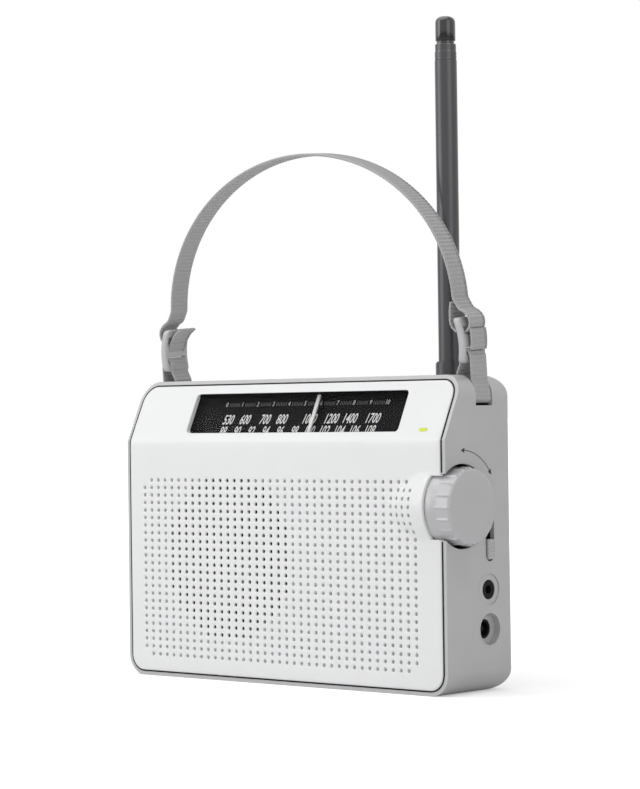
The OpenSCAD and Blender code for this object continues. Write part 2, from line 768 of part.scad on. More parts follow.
module electrolytic_capacitors() {
    color("navy") for (p = [[20, 30], [31, 36], [42, 27]])
        along_y(board_y - 11, board_y, board_x0 + p[0], p[1], 4);
}

module coil_cans() {
    color("lightsteelblue") for (x = [18, 29, 40])
        block([board_x0 + x, board_y - 8, 72], [board_x0 + x + 7, board_y, 79]);
}

rod_y = 5.6;
rod_z = 100;
rod_r0 = 4.5;
rod_x0 = aerial_x - 81;
rod_x1 = aerial_x - 13;

module ferrite_rod() { color("dimgray") along_x(rod_x0, rod_x1, rod_y, rod_z, rod_r0); }

module rod_coil() {
    color("orangered") difference() {
        along_x(rod_x0 + 26, rod_x0 + 44, rod_y, rod_z, rod_r0 + 1);
        along_x(rod_x0 + 25, rod_x0 + 45, rod_y, rod_z, rod_r0 + fit_gap / 2);
    }
}

module rod_clips() {
    color("ivory") difference() {
        for (x = [rod_x0 + 8, rod_x1 - 11])
            block([x, rod_y - 2, rod_z - 6.5], [x + 3, inner_back_y, rod_z + 6.5]);
        along_x(rod_x0, rod_x1, rod_y, rod_z, rod_r0 + fit_gap / 2);
    }
}

module headphone_jack() {
    color("dimgray") difference() {
        union() {
            block([jack_x1 - 14, side_y - 5.4, headphone_z - 5.5], [jack_x1, board_y, headphone_z + 5.5]);
            along_x(jack_x1 - tiny, right_x - 0.6, side_y, headphone_z, 3.6);
        }
        along_x(right_x - 0.6 - 14, right_x, side_y, headphone_z, headphone_r);
    }
}

module power_jack() {
    x1 = right_x - wall - dc_depth - 0.9;
    tip = right_x - dc_depth - 0.2;
    color("black") {
        difference() {
            union() {
                block([x1 - 11, side_y - 5.5, power_z - 5.6], [x1, board_y, power_z + 5.6]);
                along_x(x1 - tiny, tip, side_y, power_z, 3.7);
            }
            along_x(tip - 9, tip + past, side_y, power_z, 2.8);
        }
        along_x(tip - 10, tip - 0.8, side_y, power_z, 1.05);
    }
}

module band_switch() {
    stem_z = slider_z - 2;
    color("dimgray") difference() {
        block([switch_x1 - 7, slider_y0 + 0.4, slider_z - 9],
              [switch_x1, board_y, slider_z + slider_travel + 9]);
        block([switch_x1 - 2.2, slider_y0 + 1.15, stem_z - 0.4],
              [switch_x1 + past, slider_y0 + 3.65, stem_z + 4 + slider_travel + 0.4]);
    }
}

module band_slider() {
    y1 = slider_y0 + slider_w;
    color("silver") {
        block([switch_x1 - 2, slider_y0 + 1.3, slider_z - 2],
              [right_x - 3 + tiny, slider_y0 + 3.5, slider_z + 2]);
        block([right_x - 3, slider_y0, slider_z - slider_h / 2],
              [right_x + 0.5, y1, slider_z + slider_h / 2]);
        for (i = [-2:2]) block([right_x + 0.4, slider_y0, slider_z + i * 1.6 - 0.3],
                               [right_x + 0.9, y1, slider_z + i * 1.6 + 0.3]);
    }
}

module volume_board() {
    color("darkgreen") block([left_x + wall + 0.6, inner_back_y - 4.2, volume_z - 12],
                             [volume_x + 12, inner_back_y - 3, volume_z + 13]);
}

module volume_control() {
    color("dimgray") difference() {
        along_y(volume_y + volume_t + 0.4, inner_back_y - 4.2, volume_x, volume_z, 5.2);
        along_y(volume_y, volume_y + volume_t + 2.4, volume_x, volume_z, 2 + run_gap);
    }
}

module volume_wheel() {
    ribs = 30;
    color("silver") {
        extrude_y(volume_y, volume_y + volume_t) translate([volume_x, volume_z]) difference() {
            circle(volume_r);
            for (i = [0:ribs - 1]) rotate(i * 360 / ribs)
                translate([volume_r + 0.3, 0]) circle(0.7, $fn = 8);
        }
        along_y(volume_y + tiny, volume_y + volume_t + 2.3, volume_x, volume_z, 2);
    }
}

// ---------- power ----------

module battery_cells() {
    x0 = bay_x0 + 5;
    color("goldenrod") for (k = [0, 1]) {
        z = bay_z + (k + 0.5) * (cell_d + 0.7);
        y = tray_y + cell_d / 2 + 0.2;
        flip = k == 0 ? 0 : 1;
        along_x(x0 + flip * 1.2, x0 + cell_l - 1.2 + flip * 1.2, y, z, cell_d / 2);
        along_x(flip == 0 ? x0 + cell_l - 1.3 : x0, flip == 0 ? x0 + cell_l : x0 + 1.3, y, z, 2.75);
    }
}

module contact_spring(h) {
    rotate_extrude() polygon([[1.5, 0], [4.6, 0], [3.9, h * 0.2], [4.3, h * 0.4], [3.6, h * 0.6], [4, h * 0.8],
        [3.2, h], [2.4, h], [3.2, h * 0.8], [2.8, h * 0.6], [3.5, h * 0.4], [3.1, h * 0.2], [1.5, 0.4]]);
}

// Plate on one end wall of the bay, facing along X in the direction of turn
module contact_plate(x, turn, y, z) {
    half = 5.5;
    translate([x + turn * 0.2, y, z]) cube([0.4, 2 * half, 2 * half], center = true);
}

module battery_contacts() {
    y = tray_y + cell_d / 2 + 0.2;
    h = 4.6 - fit_gap;
    color("gainsboro") for (k = [0, 1]) {
        z = bay_z + (k + 0.5) * (cell_d + 0.7);
        spring_x = k == 0 ? bay_x0 : bay_x1;
        stud_x = k == 0 ? bay_x1 : bay_x0;
        turn = k == 0 ? 1 : -1;
        contact_plate(spring_x, turn, y, z);
        translate([spring_x + turn * 0.4, y, z]) rotate([0, turn * 90, 0]) contact_spring(h);
        contact_plate(stud_x, -turn, y, z);
        translate([stud_x - turn * 0.39, y, z]) rotate([0, -turn * 90, 0]) cylinder(h = h, r1 = 4, r2 = 2);
    }
}

module battery_door() {
    color("silver") {
        block([bay_x0 - door_lip, back_y - door_t, bay_z - door_lip],
              [bay_x1 + door_lip, back_y, bay_z1 + door_lip]);
        block([bay_x0 + door_gap, inner_back_y, bay_z + door_gap],
              [bay_x1 - door_gap, back_y - door_t + tiny, bay_z1 - door_gap]);
    }
}

// ---------- aerial ----------

module aerial_swivel() {
    color("dimgray") translate([aerial_x, aerial_y, 0]) difference() {
        union() {
            translate([0, 0, well_z - post_l + 0.3]) cylinder(h = post_l, r = post_r);
            translate([0, 0, well_z + 0.2]) cylinder(h = 1.1, r = 4.6);
            for (side = [-1, 1]) translate([0, side * (ear_gap + ear_t / 2 + fit_gap), 0]) {
                translate([-ear_w / 2, -ear_t / 2, well_z + 0.3])
                    cube([ear_w, ear_t, pivot_z - well_z - 0.3]);
                translate([0, ear_t / 2, pivot_z]) rotate([90, 0, 0]) cylinder(h = ear_t, r = ear_w / 2);
            }
        }
        translate([0, 10, pivot_z]) rotate([90, 0, 0]) cylinder(h = 20, r = aerial_pin_r + 0.02);
    }
}

module aerial_pin() {
    half = ear_gap + fit_gap + ear_t;
    color("gainsboro") along_y(aerial_y - half, aerial_y + half, aerial_x, pivot_z, aerial_pin_r);
}

module aerial_foot() {
    color("dimgray") translate([aerial_x, aerial_y, 0]) difference() {
        union() {
            translate([0, ear_gap, pivot_z]) rotate([90, 0, 0]) cylinder(h = 2 * ear_gap, r = 3);
            translate([-3, -ear_gap, pivot_z]) cube([6, 2 * ear_gap, collar_z - pivot_z + tiny]);
            translate([0, 0, collar_z]) cylinder(h = collar_h - 0.6, r = collar_r);
            translate([0, 0, collar_z + collar_h - 0.6]) cylinder(h = 0.6, r = collar_r - 0.4);
        }
        translate([0, 10, pivot_z]) rotate([90, 0, 0]) cylinder(h = 20, r = aerial_pin_r + run_gap);
        translate([0, 0, collar_z + 2.8]) cylinder(h = collar_h, r = aerial_r + 0.02);
    }
}

module tube(z0, z1, r, t) {
    translate([aerial_x, aerial_y, z0]) difference() {
        cylinder(h = z1 - z0, r = r);
        translate([0, 0, -past]) cylinder(h = z1 - z0 + 2 * past, r = r - t);
    }
}

module aerial_tube() { color("dimgray") tube(collar_z + 2.8, tube_top, aerial_r, tube_wall); }

module aerial_section_2() {
    color("dimgray") {
        tube(collar_z + 3.4, tube_top + 0.2 + band_h, section2_r, 0.45);
        tube(tube_top + 0.2, tube_top + 0.2 + band_h, aerial_r - 0.15, aerial_r - section2_r);
    }
}

module aerial_section_3() {
    z0 = tube_top + 0.4 + band_h;
    color("dimgray") {
        tube(collar_z + 4, z0 + band_h - 0.3, section3_r, 0.45);
        tube(z0, z0 + band_h - 0.3, aerial_r - 0.3, aerial_r - section3_r - 0.2);
    }
}

cap_z = tube_top + 0.3 + 2 * band_h;

module aerial_rod() {
    color("gainsboro") translate([aerial_x, aerial_y, collar_z + 4.6])
        cylinder(h = cap_z - collar_z - 4.6, r = rod_r);
}

module aerial_cap() {
    r = aerial_r - 0.4;
    color("black") translate([aerial_x, aerial_y, cap_z]) rotate_extrude()
        polygon([[0, 0], [r - 0.5, 0], [r - 0.5, 1], [r, 1.3], [r, cap_l - 2.6], [r - 0.3, cap_l - 1.4],
                 [r - 1, cap_l - 0.5], [r - 2, cap_l], [0, cap_l]]);
}

// ---------- strap ----------

// The standing strap leans forward about a line through the tops of its loops
module leaning() {
    translate([0, strap_y, strap_pivot_z]) rotate([strap_lean, 0, 0])
        translate([0, -strap_y, -strap_pivot_z]) children();
}

strap_arc = [for (a = [0:6:180]) [strap_half * cos(a), arc_z + (strap_top_z - arc_z) * sin(a)]];
buckle_top = buckle_z + buckle_h;
strap_clear = buckle_t / 2 + 0.4 + strap_t / 2;
strap_start = [[buckle_x, buckle_top - buckle_bar - 4.3],
               [buckle_x + 1.2, buckle_top - buckle_bar - 2.5],
               [buckle_x + strap_clear, buckle_top - buckle_bar],
               [buckle_x + strap_clear, buckle_top + 0.2],
               [buckle_x + 1.2, buckle_top + 3]];
strap_end = [for (i = [len(strap_start) - 1:-1:0]) [-strap_start[i][0], strap_start[i][1]]];
strap_line = concat(strap_start, strap_arc, strap_end);

module carrying_strap() {
    color("darkgray") leaning() extrude_y(strap_y - strap_w / 2, strap_y + strap_w / 2)
        ribbon(strap_line, strap_t);
}

module buckle() {
    slot = buckle_w / 2 - buckle_side;
    color("lightgray") leaning() extrude_x(buckle_x - buckle_t / 2, buckle_x + buckle_t / 2) difference() {
        rounded(strap_y - buckle_w / 2, buckle_z, strap_y + buckle_w / 2, buckle_top, 3);
        for (z = [buckle_z + buckle_bar, buckle_top - buckle_bar - buckle_slot])
            translate([strap_y - slot, z]) square([2 * slot, buckle_slot]);
    }
}

module buckle_left() { mirrored(-1) buckle(); }
module buckle_right() { buckle(); }

// Points around one bend of a loop, given from the corner's centre
function around(centre, from, to, step) = [for (a = [from:step:to])
    [corner_x, corner_z] + centre + bend_r * [cos(a), sin(a)]];
out_x = buckle_x + strap_clear;
in_x = buckle_x - strap_clear;
loop_turn_z = buckle_z + buckle_bar + 0.6;
loop_line = concat([[buckle_x + 0.8, loop_turn_z + 2.8], [out_x, loop_turn_z], [out_x, case_h - 1.5]],
    [for (a = [14:-7:0]) [corner_x + loop_out_r * cos(a), corner_z + loop_out_r * sin(a)]],
    around(low_bend, 0, -126, -21), around(high_bend, -126, -180, -18),
    [[corner_x + high_bend[0] - bend_r, case_h + 0.9], [in_x, buckle_z - 0.2], [in_x, loop_turn_z],
     [buckle_x - 0.8, loop_turn_z + 2.8]]);

module loop_webbing() {
    extrude_y(strap_y - strap_w / 2, strap_y + strap_w / 2) ribbon(loop_line, strap_t);
}

// One loop: upright inside the case, leaning with the strap above it
module strap_loop() {
    color("darkgray") {
        intersection() {
            loop_webbing();
            block([0, -case_d, 0], [case_w, case_d, strap_pivot_z]);
        }
        leaning() intersection() {
            loop_webbing();
            block([0, -case_d, strap_pivot_z - 0.6], [case_w, case_d, strap_top_z]);
        }
    }
}

module strap_loop_left() { mirrored(-1) strap_loop(); }
module strap_loop_right() { strap_loop(); }

front_panel();
rear_case();
dial_window();
dial_plate();
dial_frame();
pointer_rail();
pointer();
pulley_front();
pulley_rear();
pulley_left();
dial_cord();
signal_lamp();
tuning_knob();
tuning_shaft();
tuning_bracket();
tuning_capacitor();
capacitor_gear();
speaker_frame();
speaker_magnet();
speaker_cone();
speaker_screws();
circuit_board();
board_screws();
radio_chip();
electrolytic_capacitors();
coil_cans();
ferrite_rod();
rod_coil();
rod_clips();
headphone_jack();
power_jack();
band_switch();
band_slider();
volume_board();
volume_control();
volume_wheel();
battery_cells();
battery_contacts();
battery_door();
case_screws();
aerial_swivel();
aerial_pin();
aerial_foot();
aerial_tube();
aerial_section_2();
aerial_section_3();
aerial_rod();
aerial_cap();
carrying_strap();
buckle_left();
buckle_right();
strap_loop_left();
strap_loop_right();
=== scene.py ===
"""Portable analogue radio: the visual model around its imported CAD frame.

Every shape is worked out with numpy, except the outlines of the dial's numbers, which come from Blender's
own font. Lengths are in metres, in the frame's own axes: +X to the radio's right, -Y to its front, +Z up.
"""
import json
import math

import bpy
import bmesh
import numpy as np
from bpy.props import FloatProperty, FloatVectorProperty, IntProperty, PointerProperty
from mathutils import Matrix, Vector

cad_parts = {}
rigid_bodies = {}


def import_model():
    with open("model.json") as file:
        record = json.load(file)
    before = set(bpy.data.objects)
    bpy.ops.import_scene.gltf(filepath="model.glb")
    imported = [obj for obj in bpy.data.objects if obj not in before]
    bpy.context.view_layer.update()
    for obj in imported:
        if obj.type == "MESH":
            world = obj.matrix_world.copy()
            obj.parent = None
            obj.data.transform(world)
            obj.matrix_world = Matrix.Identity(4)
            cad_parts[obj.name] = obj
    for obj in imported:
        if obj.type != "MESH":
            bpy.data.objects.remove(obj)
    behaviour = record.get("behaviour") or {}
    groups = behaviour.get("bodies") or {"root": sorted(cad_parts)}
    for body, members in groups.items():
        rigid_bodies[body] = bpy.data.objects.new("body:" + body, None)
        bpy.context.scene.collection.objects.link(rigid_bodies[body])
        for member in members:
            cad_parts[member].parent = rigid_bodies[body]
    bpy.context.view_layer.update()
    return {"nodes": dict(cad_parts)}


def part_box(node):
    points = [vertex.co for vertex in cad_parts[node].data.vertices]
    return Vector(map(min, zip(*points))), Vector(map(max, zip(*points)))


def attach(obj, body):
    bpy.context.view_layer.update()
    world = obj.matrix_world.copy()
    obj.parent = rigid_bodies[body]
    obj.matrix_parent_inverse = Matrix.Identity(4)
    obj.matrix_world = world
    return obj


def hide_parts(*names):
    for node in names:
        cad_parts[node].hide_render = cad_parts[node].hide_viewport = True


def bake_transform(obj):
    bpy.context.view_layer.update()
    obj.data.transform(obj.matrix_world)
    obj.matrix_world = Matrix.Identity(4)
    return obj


bl_info = {
    "name": "Portable radio",
    "version": (1, 0, 0),
    "blender": (4, 5, 0),
    "location": "3D View > Sidebar > Radio",
    "description": "Builds a portable radio around its frame, piece by piece",
    "category": "Add Mesh",
}

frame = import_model()
MM = 0.001


def low(node):
    """Lowest corner of a node's box as an array."""
    return np.array(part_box(node)[0])


def high(node):
    """Highest corner of a node's box as an array."""
    return np.array(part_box(node)[1])


def middle(node):
    """Middle of a node's box as an array."""
    return (low(node) + high(node)) / 2


CASE_LOW, CASE_HIGH = low("rear_case"), high("rear_case")
PANEL_LOW, PANEL_HIGH = low("front_panel"), high("front_panel")
FRONT_Y = CASE_LOW[1] - 0.6 * MM
CREASE_Z = 98 * MM
SLOPE_RUN = 12 * MM
LEAN = math.atan2(SLOPE_RUN, CASE_HIGH[2] - CREASE_Z)
KNOB_X0, KNOB_X1 = low("tuning_knob")[0], high("tuning_knob")[0]
KNOB_Y, KNOB_Z = middle("tuning_knob")[1], middle("tuning_knob")[2]
STRAP_Y, STRAP_PIVOT_Z = 5.2 * MM, CASE_HIGH[2] + 0.1 * MM
AERIAL_X, AERIAL_Y = middle("aerial_tube")[0], middle("aerial_tube")[1]


# ---------- sizes and colours ----------

def size(name, text, default, **more):
    """A length in metres that a user may change."""
    return FloatProperty(name=name, description=text, default=default, unit="LENGTH", precision=5, **more)


def colour(name, text, default):
    """A colour that a user may change."""
    return FloatVectorProperty(name=name, description=text, default=default, size=3, min=0, max=1,
                               subtype="COLOR")


class RadioSizes(bpy.types.PropertyGroup):
    """Sizes of the visual pieces."""
    hole_radius: size("Grille hole radius", "Radius of one grille hole at its bottom", 0.8 * MM)
    hole_depth: size("Dimple depth", "Depth of a grille dimple that isn't a through hole", 1.6 * MM)
    pitch_x: size("Column spacing", "Distance between grille columns", 3.96 * MM)
    pitch_z: size("Row spacing", "Distance between grille rows", 3.155 * MM)
    first_x: size("First column", "X of the left grille column", -75.3 * MM)
    first_z: size("First row", "Z of the lowest grille row", 9.2 * MM)
    columns: IntProperty(name="Grille columns", description="Number of grille columns", default=38)
    rows: IntProperty(name="Grille rows", description="Number of grille rows", default=24)
    panel_edge: size("Panel edge radius", "Rounding along the front panel's outline", 0.7 * MM)
    knob_ribs: IntProperty(name="Knob ribs", description="Ribs around the tuning knob", default=20)
    rib_height: size("Rib height", "How far a rib stands out of the knob", 0.6 * MM)
    webbing_pitch: size("Webbing rib spacing", "Distance between the webbing's crosswise ribs", 1.7 * MM)
    webbing_relief: size("Webbing relief", "Height of the webbing's ribs", 0.2 * MM)
    print_lift: size("Print thickness", "How far printed marks stand off their surface", 0.03 * MM)


class RadioColours(bpy.types.PropertyGroup):
    """Base colours of the finishes."""
    panel: colour("Panel", "Front panel", (0.80, 0.805, 0.81))
    cabinet: colour("Cabinet", "Silver cabinet", (0.49, 0.49, 0.495))
    knob: colour("Knob", "Tuning knob", (0.50, 0.50, 0.51))
    trim: colour("Trim", "Volume wheel", (0.30, 0.30, 0.31))
    webbing: colour("Webbing", "Carrying strap", (0.43, 0.43, 0.435))
    buckle: colour("Buckle", "Strap buckles", (0.50, 0.50, 0.505))
    aerial: colour("Aerial", "Outer aerial tube", (0.075, 0.075, 0.08))
    dial: colour("Dial", "Dial plate", (0.006, 0.006, 0.007))
    dial_print: colour("Dial print", "Numbers and marks", (0.85, 0.85, 0.83))
    lamp: colour("Lamp", "Signal lamp", (0.62, 0.72, 0.05))


# ---------- finishes ----------

def new_material(name):
    """A new node material, its node tree and its principled shader."""
    material = bpy.data.materials.new(name)
    material.use_nodes = True
    tree = material.node_tree
    shader = tree.nodes["Principled BSDF"]
    return material, tree, shader


def link(tree, source, target):
    """Joins one socket to another."""
    tree.links.new(source, target)


def node(tree, kind, **settings):
    """A new shader node with its settings."""
    made = tree.nodes.new(kind)
    for key, value in settings.items():
        setattr(made, key, value)
    return made


def noise(tree, vector, scale, detail=3.0, roughness=0.5):
    """A noise texture on a vector, features of about one over scale metres."""
    made = node(tree, "ShaderNodeTexNoise")
    made.inputs["Scale"].default_value = scale
    made.inputs["Detail"].default_value = detail
    made.inputs["Roughness"].default_value = roughness
    link(tree, vector, made.inputs["Vector"])
    return made.outputs["Fac"]


def stretched(tree, vector, stretch):
    """The vector scaled by a different share along each axis."""
    made = node(tree, "ShaderNodeMapping")
    made.inputs["Scale"].default_value = stretch
    link(tree, vector, made.inputs["Vector"])
    return made.outputs["Vector"]


def ranged(tree, value, low_out, high_out, low_in=0.3, high_in=0.7):
    """The value mapped from one range to another."""
    made = node(tree, "ShaderNodeMapRange")
    limits = {"From Min": low_in, "From Max": high_in, "To Min": low_out, "To Max": high_out}
    for key, number in limits.items():
        made.inputs[key].default_value = number
    link(tree, value, made.inputs["Value"])
    return made.outputs["Result"]


def two_colours(tree, factor, first, second):
    """A mix of two colours by a factor."""
    made = node(tree, "ShaderNodeMix", data_type="RGBA")
    colours = [s for s in made.inputs if s.type == "RGBA"]
    colours[0].default_value = (*first, 1)
    colours[1].default_value = (*second, 1)
    link(tree, factor, made.inputs["Factor"])
    return [s for s in made.outputs if s.type == "RGBA"][0]


def bumped(tree, shader, height, depth):
    """Drives the shader's normal by a height, depth metres tall."""
    made = node(tree, "ShaderNodeBump")
    made.inputs["Strength"].default_value = 1.0
    made.inputs["Distance"].default_value = depth
    link(tree, height, made.inputs["Height"])
    link(tree, made.outputs["Normal"], shader.inputs["Normal"])


def finish(name, base, roughness=0.4, metallic=0.0, grain=0.35 * MM, relief=0.004 * MM, mottle=0.05,
           spread=0.08, stretch=(1, 1, 1), coat=0.0, specular=0.5):
    """A moulded, painted or metal surface: fine grain in the relief, slow mottling in the colour and
    roughness that varies by spread."""
    material, tree, shader = new_material(name)
    where = node(tree, "ShaderNodeTexCoord").outputs["Object"]
    along = stretched(tree, where, stretch)
    slow = noise(tree, where, 1 / (18 * MM), 4)
    fine = noise(tree, along, 1 / grain, 2)
    dark = tuple(c * (1 - mottle) for c in base)
    light = tuple(min(1, c * (1 + mottle)) for c in base)
    link(tree, two_colours(tree, ranged(tree, slow, 0, 1), dark, light), shader.inputs["Base Color"])
    link(tree, ranged(tree, noise(tree, along, 1 / (4 * grain), 3), roughness - spread / 2,
                      roughness + spread / 2), shader.inputs["Roughness"])
    shader.inputs["Metallic"].default_value = metallic
    shader.inputs["Specular IOR Level"].default_value = specular
    shader.inputs["Coat Weight"].default_value = coat
    bumped(tree, shader, fine, relief)
    return material


def webbing_finish(name, base):
    """Woven nylon: crosswise yarns along the piece's own V, lengthwise yarns along its U, slight fuzz. Its
    colour is darker where the weave's relief is low and lighter where it is high: painted shade in the
    hollows and painted highlight on the crests.
    """
    material, tree, shader = new_material(name)
    uv = node(tree, "ShaderNodeTexCoord").outputs["UV"]
    parts = node(tree, "ShaderNodeSeparateXYZ")
    link(tree, uv, parts.inputs["Vector"])

    def wave(source, spacing, shift=0.0):
        turn = node(tree, "ShaderNodeMath", operation="MULTIPLY_ADD")
        link(tree, source, turn.inputs[0])
        turn.inputs[1].default_value = 2 * math.pi / spacing
        turn.inputs[2].default_value = shift
        made = node(tree, "ShaderNodeMath", operation="SINE")
        link(tree, turn.outputs[0], made.inputs[0])
        return made.outputs[0]

    both = node(tree, "ShaderNodeMath", operation="MULTIPLY")
    link(tree, wave(parts.outputs["X"], 1.1 * MM), both.inputs[0])
    link(tree, wave(parts.outputs["Y"], 1.7 * MM), both.inputs[1])
    fuzz = noise(tree, uv, 1 / (0.25 * MM), 3, 0.7)
    height = node(tree, "ShaderNodeMath", operation="MULTIPLY_ADD")
    link(tree, fuzz, height.inputs[0])
    height.inputs[1].default_value = 0.9
    link(tree, both.outputs[0], height.inputs[2])
    # painted shade and highlight: the colour follows the weave's relief, dark in its hollows and light on its
    # crests
    weave_shade_and_highlight = ranged(tree, both.outputs[0], 0, 1, -1, 1)
    dark = tuple(c * 0.72 for c in base)
    light = tuple(min(1, c * 1.25) for c in base)
    link(tree, two_colours(tree, weave_shade_and_highlight, dark, light), shader.inputs["Base Color"])
    link(tree, ranged(tree, fuzz, 0.7, 0.9), shader.inputs["Roughness"])
    shader.inputs["Sheen Weight"].default_value = 0.35
    shader.inputs["Sheen Roughness"].default_value = 0.4
    bumped(tree, shader, height.outputs[0], 0.06 * MM)
    return material


def clear_finish(name, tint, alpha, roughness=0.04):
    """Clear plastic that shows what is behind it, slightly tinted, with roughness that varies faintly over
    its surface.
    """
    material, tree, shader = new_material(name)
    where = node(tree, "ShaderNodeTexCoord").outputs["Object"]
    shader.inputs["Base Color"].default_value = (*tint, 1)
    shader.inputs["Alpha"].default_value = alpha
    shader.inputs["IOR"].default_value = 1.49
    link(tree, ranged(tree, noise(tree, where, 1 / (6 * MM), 2), roughness, roughness * 2),
         shader.inputs["Roughness"])
    return material


def board_finish(name):
    """Circuit board: green mask over wandering copper tracks."""
    material, tree, shader = new_material(name)
    where = node(tree, "ShaderNodeTexCoord").outputs["Object"]
    cells = node(tree, "ShaderNodeTexVoronoi", feature="DISTANCE_TO_EDGE")
    cells.inputs["Scale"].default_value = 1 / (5 * MM)
    link(tree, where, cells.inputs["Vector"])
    track = ranged(tree, cells.outputs["Distance"], 1, 0, 0.05, 0.07)
    link(tree, two_colours(tree, track, (0.012, 0.07, 0.03), (0.04, 0.17, 0.07)), shader.inputs["Base Color"])
    link(tree, ranged(tree, noise(tree, where, 1 / (1 * MM)), 0.28, 0.42), shader.inputs["Roughness"])
    bumped(tree, shader, track, 0.03 * MM)
    return material


MATERIALS = {}


def make_materials(colours):
    """Every finish that the pieces use, by name."""
    plain = {
        "panel": dict(base=colours.panel, roughness=0.32, relief=0.002 * MM, mottle=0.01, grain=0.5 * MM),
        "cabinet": dict(base=colours.cabinet, roughness=0.42, metallic=0.15, relief=0.006 * MM, mottle=0.03,
                        grain=0.22 * MM),
        "knob": dict(base=colours.knob, roughness=0.34, metallic=0.1, relief=0.0008 * MM, mottle=0.01,
                     spread=0.04),
        "trim": dict(base=colours.trim, roughness=0.4, relief=0.004 * MM),
        "buckle": dict(base=colours.buckle, roughness=0.38, relief=0.005 * MM, mottle=0.06),
        "aerial": dict(base=colours.aerial, roughness=0.3, metallic=0.55, relief=0.002 * MM,
                       stretch=(1, 1, 0.05), spread=0.05, mottle=0.02),
        "aerial_bright": dict(base=(0.16, 0.16, 0.17), roughness=0.24, metallic=1.0, relief=0.001 * MM,
                              stretch=(1, 1, 0.05), spread=0.1),
        "black_gloss": dict(base=(0.008, 0.008, 0.009), roughness=0.14, relief=0.001 * MM, coat=0.5),
        "black_matt": dict(base=(0.008, 0.008, 0.009), roughness=0.6, relief=0.006 * MM, specular=0.15),
        "cloth": dict(base=(0.006, 0.006, 0.006), roughness=0.95, grain=0.25 * MM, relief=0.04 * MM,
                      mottle=0.2, specular=0.05),
        "dial": dict(base=colours.dial, roughness=0.55, relief=0.002 * MM, specular=0.06),
        "dial_print": dict(base=colours.dial_print, roughness=0.6, relief=0.001 * MM, mottle=0.02),
        "tick_print": dict(base=(0.22, 0.22, 0.22), roughness=0.6, relief=0.001 * MM, mottle=0.02),
        "scale_print": dict(base=(0.62, 0.62, 0.61), roughness=0.6, relief=0.001 * MM, mottle=0.02),
        "mark_print": dict(base=(0.03, 0.03, 0.03), roughness=0.6, relief=0.001 * MM, mottle=0.02),
        "lamp": dict(base=colours.lamp, roughness=0.25, relief=0.001 * MM, coat=0.3),
        "nylon": dict(base=(0.72, 0.71, 0.66), roughness=0.45),
        "cord": dict(base=(0.45, 0.42, 0.32), roughness=0.85, grain=0.12 * MM, relief=0.03 * MM, mottle=0.15),
        "steel": dict(base=(0.55, 0.55, 0.57), roughness=0.32, metallic=1.0, grain=0.15 * MM,
                      stretch=(1, 0.1, 1), mottle=0.08, spread=0.16),
        "bright_steel": dict(base=(0.75, 0.75, 0.77), roughness=0.18, metallic=1.0, mottle=0.05),
        "aluminium": dict(base=(0.7, 0.71, 0.73), roughness=0.35, metallic=1.0, stretch=(1, 1, 0.08)),
        "ferrite": dict(base=(0.03, 0.03, 0.033), roughness=0.55, grain=0.2 * MM, relief=0.02 * MM,
                        mottle=0.2),
        "paper": dict(base=(0.018, 0.018, 0.018), roughness=0.95, grain=0.3 * MM, relief=0.05 * MM,
                      mottle=0.25, specular=0.2),
        "epoxy": dict(base=(0.02, 0.02, 0.021), roughness=0.5, grain=0.1 * MM, relief=0.01 * MM),
        "sleeve": dict(base=(0.015, 0.025, 0.1), roughness=0.3),
        "copper": dict(base=(0.6, 0.24, 0.1), roughness=0.3, metallic=1.0, grain=0.2 * MM, relief=0.04 * MM,
                       stretch=(1, 0.05, 0.05)),
        "cell": dict(base=(0.03, 0.03, 0.033), roughness=0.28, mottle=0.1, coat=0.2),
    }
    for name, values in plain.items():
        values["base"] = tuple(values["base"])
        MATERIALS[name] = finish(name, **values)
    MATERIALS["webbing"] = webbing_finish("webbing", tuple(colours.webbing))
    MATERIALS["lens"] = clear_finish("lens", (0.01, 0.01, 0.012), 0.06)
    MATERIALS["board"] = board_finish("board")


# ---------- mesh tools ----------

def make_piece(name, points, faces, body, material, replaces=(), closed=True, sharp=35, uv=None):
    """A mesh object from points and faces, riding on a body. Where body is a tuple (first, second, start,
    end), it is not used and the piece rides on no body. A closed shell is welded and turned outwards."""
    mesh = bpy.data.meshes.new(name)
    lists = [row for part in faces for row in np.asarray(part).tolist()]
    mesh.from_pydata(np.asarray(points, float).tolist(), [], lists)
    if uv is not None:
        corner = np.zeros(len(mesh.loops), np.int32)
        mesh.loops.foreach_get("vertex_index", corner)
        layer = mesh.uv_layers.new(name="UVMap")
        layer.data.foreach_set("uv", np.asarray(uv, np.float32)[corner].ravel())
    if closed:
        shell = bmesh.new()
        shell.from_mesh(mesh)
        bmesh.ops.remove_doubles(shell, verts=shell.verts, dist=1e-7)
        bmesh.ops.recalc_face_normals(shell, faces=shell.faces)
        shell.to_mesh(mesh)
        shell.free()
    mesh.shade_smooth()
    mesh.set_sharp_from_angle(angle=math.radians(sharp))
    mesh.materials.append(MATERIALS[material])
    piece = bpy.data.objects.new(name, mesh)
    bpy.context.scene.collection.objects.link(piece)
    if isinstance(body, tuple):
        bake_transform(piece)
    else:
        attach(piece, body)
    if replaces:
        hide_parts(*replaces)
    return piece


def grid_faces(rows, columns, wrap_rows=False, wrap_columns=False, start=0):
    """Quads between neighbours of a grid of points numbered row by row, closed round where it wraps."""
    index = start + np.arange(rows * columns).reshape(rows, columns)
    if wrap_rows:
        index = np.vstack([index, index[:1]])
    if wrap_columns:
        index = np.hstack([index, index[:, :1]])
    corners = index[:-1, :-1], index[:-1, 1:], index[1:, 1:], index[1:, :-1]
    return np.stack([c.ravel() for c in corners], 1)


def evenly(line, spacing):
    """The line's points replaced by evenly spaced ones, and their distances along it."""
    line = np.asarray(line, float)
    steps = np.concatenate([[0], np.cumsum(np.linalg.norm(np.diff(line, axis=0), axis=1))])
    count = max(2, int(round(steps[-1] / spacing)) + 1)
    at = np.linspace(0, steps[-1], count)
    return np.stack([np.interp(at, steps, line[:, k]) for k in range(line.shape[1])], 1), at


